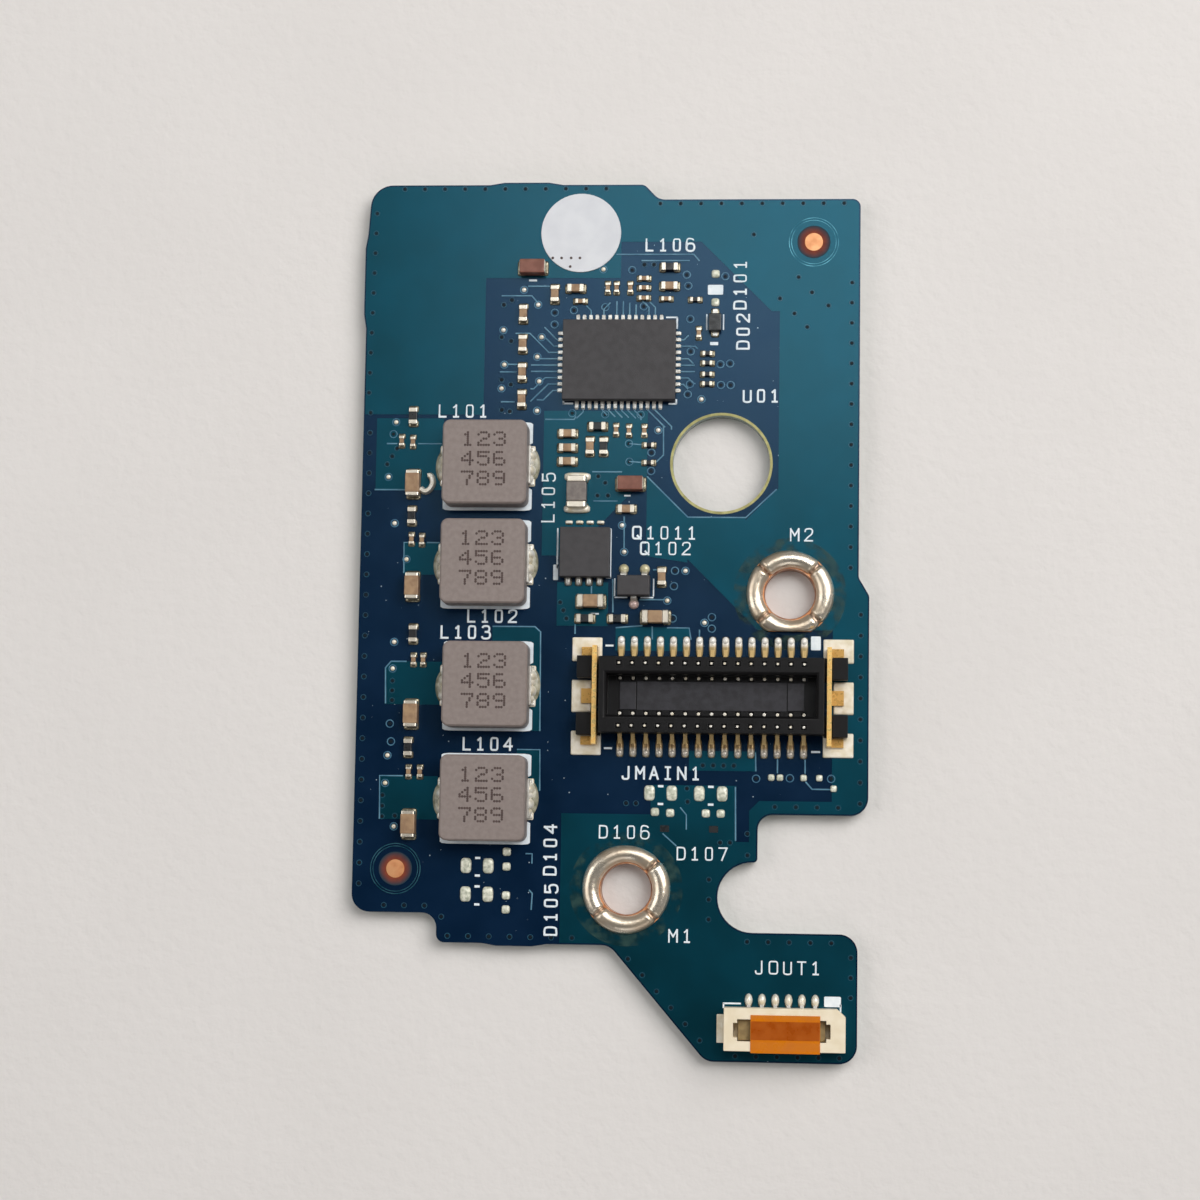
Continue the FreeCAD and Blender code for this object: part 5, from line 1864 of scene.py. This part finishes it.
@dataclass
class Header:
    """The board-to-board header with solder on its tails. Sizes are in millimetres."""

    edge: float = 0.03
    hold_down_edge: float = 0.05
    tongue: Triple = (0.44, 1.3, 0.22)
    tip: Triple = (0.22, 0.27, 0.32)
    lower_tongue: Triple = (0.44, 1.2, 0.22)
    lower_tip: Triple = (0.23, 0.28, 0.28)
    tongue_corner: float = 0.38
    tongue_overhang: float = 0.02
    tip_overhang: float = 0.07
    dot_radius: float = 0.075
    inner_dot_radius: float = 0.1
    dot_height: float = 0.03
    dot_sink: float = 0.04
    dot_sides: int = 8
    tine_places: Point = (1.9, 1.08)
    cavity_depth: float = 1.4
    floor_size: Point = (9.1, 1.75)
    block_size: Point = (1.0, 1.7)
    floor_thickness: float = 0.03
    floor_edge: float = 0.015
    block_thickness: float = 0.07
    block_edge: float = 0.03
    block_gap: float = 0.06

    def tails(self, node: str, sign: float, tongue: Triple, tip: Triple) -> Piece:
        """Model the solder on one row of tails.

        Args:
            node: The row's CAD node.
            sign: 1 for the upper row and -1 for the lower one.
            tongue: Width, length and height of the solder along a tail.
            tip: Half sides and height of the drop at its tip.

        Returns:
            The solder of the row.
        """
        tongues = []
        tips = []
        for contact in solids(node):
            end = contact.high.y if sign > 0 else contact.low.y
            inset = tip[1] - self.tip_overhang
            tips.append(spot(contact.middle.x, end - sign * inset, BOARD_TOP, 0.0, tip))
            inset = tongue[1] / 2 - self.tongue_overhang
            tongues.append(spot(contact.middle.x, end - sign * inset, BOARD_TOP, 0.0, tongue))
        pillow = Masters.pillow(self.tongue_corner)
        return Bench.join([Bench.copies(Masters.drop(), tips), Bench.copies(pillow, tongues)])

    def dots(self, node: str, sign: float) -> list[Matrix]:
        """Work out where the tips of one row's tines show.

        Args:
            node: The row's CAD node.
            sign: 1 for the upper row and -1 for the lower one.

        Returns:
            A place for each tip.
        """
        housing = node_box("header_housing")
        outer, inner = self.tine_places
        tines = ((outer, housing.high.z - self.dot_sink, self.dot_radius),
                 (inner, housing.high.z - self.cavity_depth - self.dot_sink, self.inner_dot_radius))
        return [spot(contact.middle.x, housing.middle.y + sign * y, z, 0.0, (radius, radius, self.dot_height))
                for contact in solids(node) for y, z, radius in tines]

    def cavity(self) -> Piece:
        """Model the raised floor of the cavity and the block at each of its ends.

        Returns:
            Floor and blocks, in place.
        """
        housing = node_box("header_housing")
        x, y = housing.middle.xy
        floor = housing.high.z - self.cavity_depth
        plate = Masters.body(*self.floor_size, self.floor_thickness, self.floor_edge)
        plate = Bench.copies(plate, [spot(x, y, floor)])
        reach = (self.floor_size[0] + self.block_size[0]) / 2 + self.block_gap
        block = Masters.body(*self.block_size, self.block_thickness, self.block_edge)
        blocks = Bench.copies(block, [spot(x + sign * reach, y, floor) for sign in (-1, 1)])
        return Bench.join([plate, blocks])

    def build(self) -> None:
        """Dress housing, contacts and hold-downs, and add solder, tips and floor."""
        dress("header_housing", Surface.BLACK, self.edge)
        places = []
        for row, sign, tongue, tip, surface in (("upper", 1.0, self.tongue, self.tip, Surface.TONGUE),
                                                ("lower", -1.0, self.lower_tongue, self.lower_tip, Surface.DULL)):
            node = f"header_contacts_{row}"
            dress(node, Surface.CONTACT, self.edge)
            hand_over(self.tails(node, sign, tongue, tip), f"header_solder_{row}", surface)
            places += self.dots(node, sign)
        hand_over(Bench.copies(Masters.disc(self.dot_sides), places), "header_tine_tips", Surface.SOLDER)
        hand_over(self.cavity(), "header_cavity_floor", Surface.CAVITY)
        for side in ("left", "right"):
            dress(f"header_hold_down_{side}", Surface.GOLD, self.hold_down_edge)


@dataclass
class SpeakerSocket:
    """The speaker socket with solder on its tails. Sizes are in millimetres."""

    edge: float = 0.05
    contact_edge: float = 0.02
    tab_edge: float = 0.04
    tape_edge: float = 0.01
    drop_length: float = 0.8
    drop_width: float = 0.48
    drop_height: float = 0.36
    drop_overhang: float = 0.12
    # A raised floor in the hollow, darker than the housing as painted shade: its size, floor height, height and edge.
    hollow_size: Point = (5.2, 1.2)
    hollow_floor: float = 1.4
    hollow_height: float = 0.72
    hollow_edge: float = 0.03
    band_margin: float = 0.06
    # The darker film band over the hollow, painted shade: its margin, width, thickness and edge.
    band_width: float = 1.1
    band_thickness: float = 0.004
    band_edge: float = 0.001

    def build(self) -> None:
        """Dress housing, contacts, tab and tape, and add a darker band over the tape and a darker raised floor in the
        hollow, both painted shade, and the solder.
        """
        dress("socket_housing", Surface.IVORY, self.edge)
        dress("socket_contacts", Surface.TIN, self.contact_edge)
        dress("socket_solder_tab", Surface.CREAM, self.tab_edge)
        dress("pick_up_tape", Surface.TAPE, self.tape_edge)
        # A darker film band over the hollow paints the hollow's shade seen through the tape.
        tape = node_box("pick_up_tape")
        band = Masters.body(tape.size.x - self.band_margin, self.band_width, self.band_thickness, self.band_edge)
        place = node_box("socket_contacts")
        band = Bench.copies(band, [spot(tape.middle.x, place.low.y, tape.high.z)])
        hand_over(band, "painted_shade_over_hollow", Surface.BAND)
        # The hollow's raised floor is darker ivory: painted shade inside the hollow.
        hollow = Masters.body(*self.hollow_size, self.hollow_height, self.hollow_edge)
        hollow = Bench.copies(hollow, [spot(place.middle.x, place.low.y, self.hollow_floor)])
        hand_over(hollow, "socket_hollow_painted_shade", Surface.HOLLOW)
        size = (self.drop_width / 2, self.drop_length / 2, self.drop_height)
        inset = self.drop_length / 2 - self.drop_overhang
        drops = [spot(contact.middle.x, contact.high.y - inset, BOARD_TOP, 0.0, size)
                 for contact in solids("socket_contacts")]
        hand_over(Bench.copies(Masters.drop(), drops), "socket_solder", Surface.SOLDER)


@dataclass
class Sticker:
    """The round paper sticker with a few pricked dots. Sizes are in millimetres."""

    edge: float = 0.03
    dot_radius: float = 0.09
    dot_height: float = 0.004
    dot_sides: int = 8
    dots: list[Point] = field(default_factory=lambda: [
        (-1.75, -1.6), (-1.2, -1.6), (-0.6, -1.6), (-0.05, -1.6), (-0.65, -2.15),
    ])

    def build(self) -> None:
        """Dress the sticker and print its dots."""
        dress("round_sticker", Surface.PAPER, self.edge)
        sticker = node_box("round_sticker")
        size = (self.dot_radius, self.dot_radius, self.dot_height)
        dots = [spot(sticker.middle.x + x, sticker.middle.y + y, sticker.high.z, 0.0, size) for x, y in self.dots]
        hand_over(Bench.copies(Masters.disc(self.dot_sides), dots), "sticker_dots", Surface.MARK)


def main() -> None:
    """Build the scene's parts in order and log each one as it is done."""
    logging.basicConfig(level=logging.INFO, format="%(name)s %(message)s")
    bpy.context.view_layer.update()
    for part in (Studio(), Board(), CopperPours(), Tracks(), Vias(), Legend(), ScrewHoles(), SolderPads(), Chips(),
                 LeadedParts(), Inductors(), Header(), SpeakerSocket(), Sticker()):
        part.build()
        LOG.info("%s done", type(part).__name__)


if __name__ == "__main__":
    main()
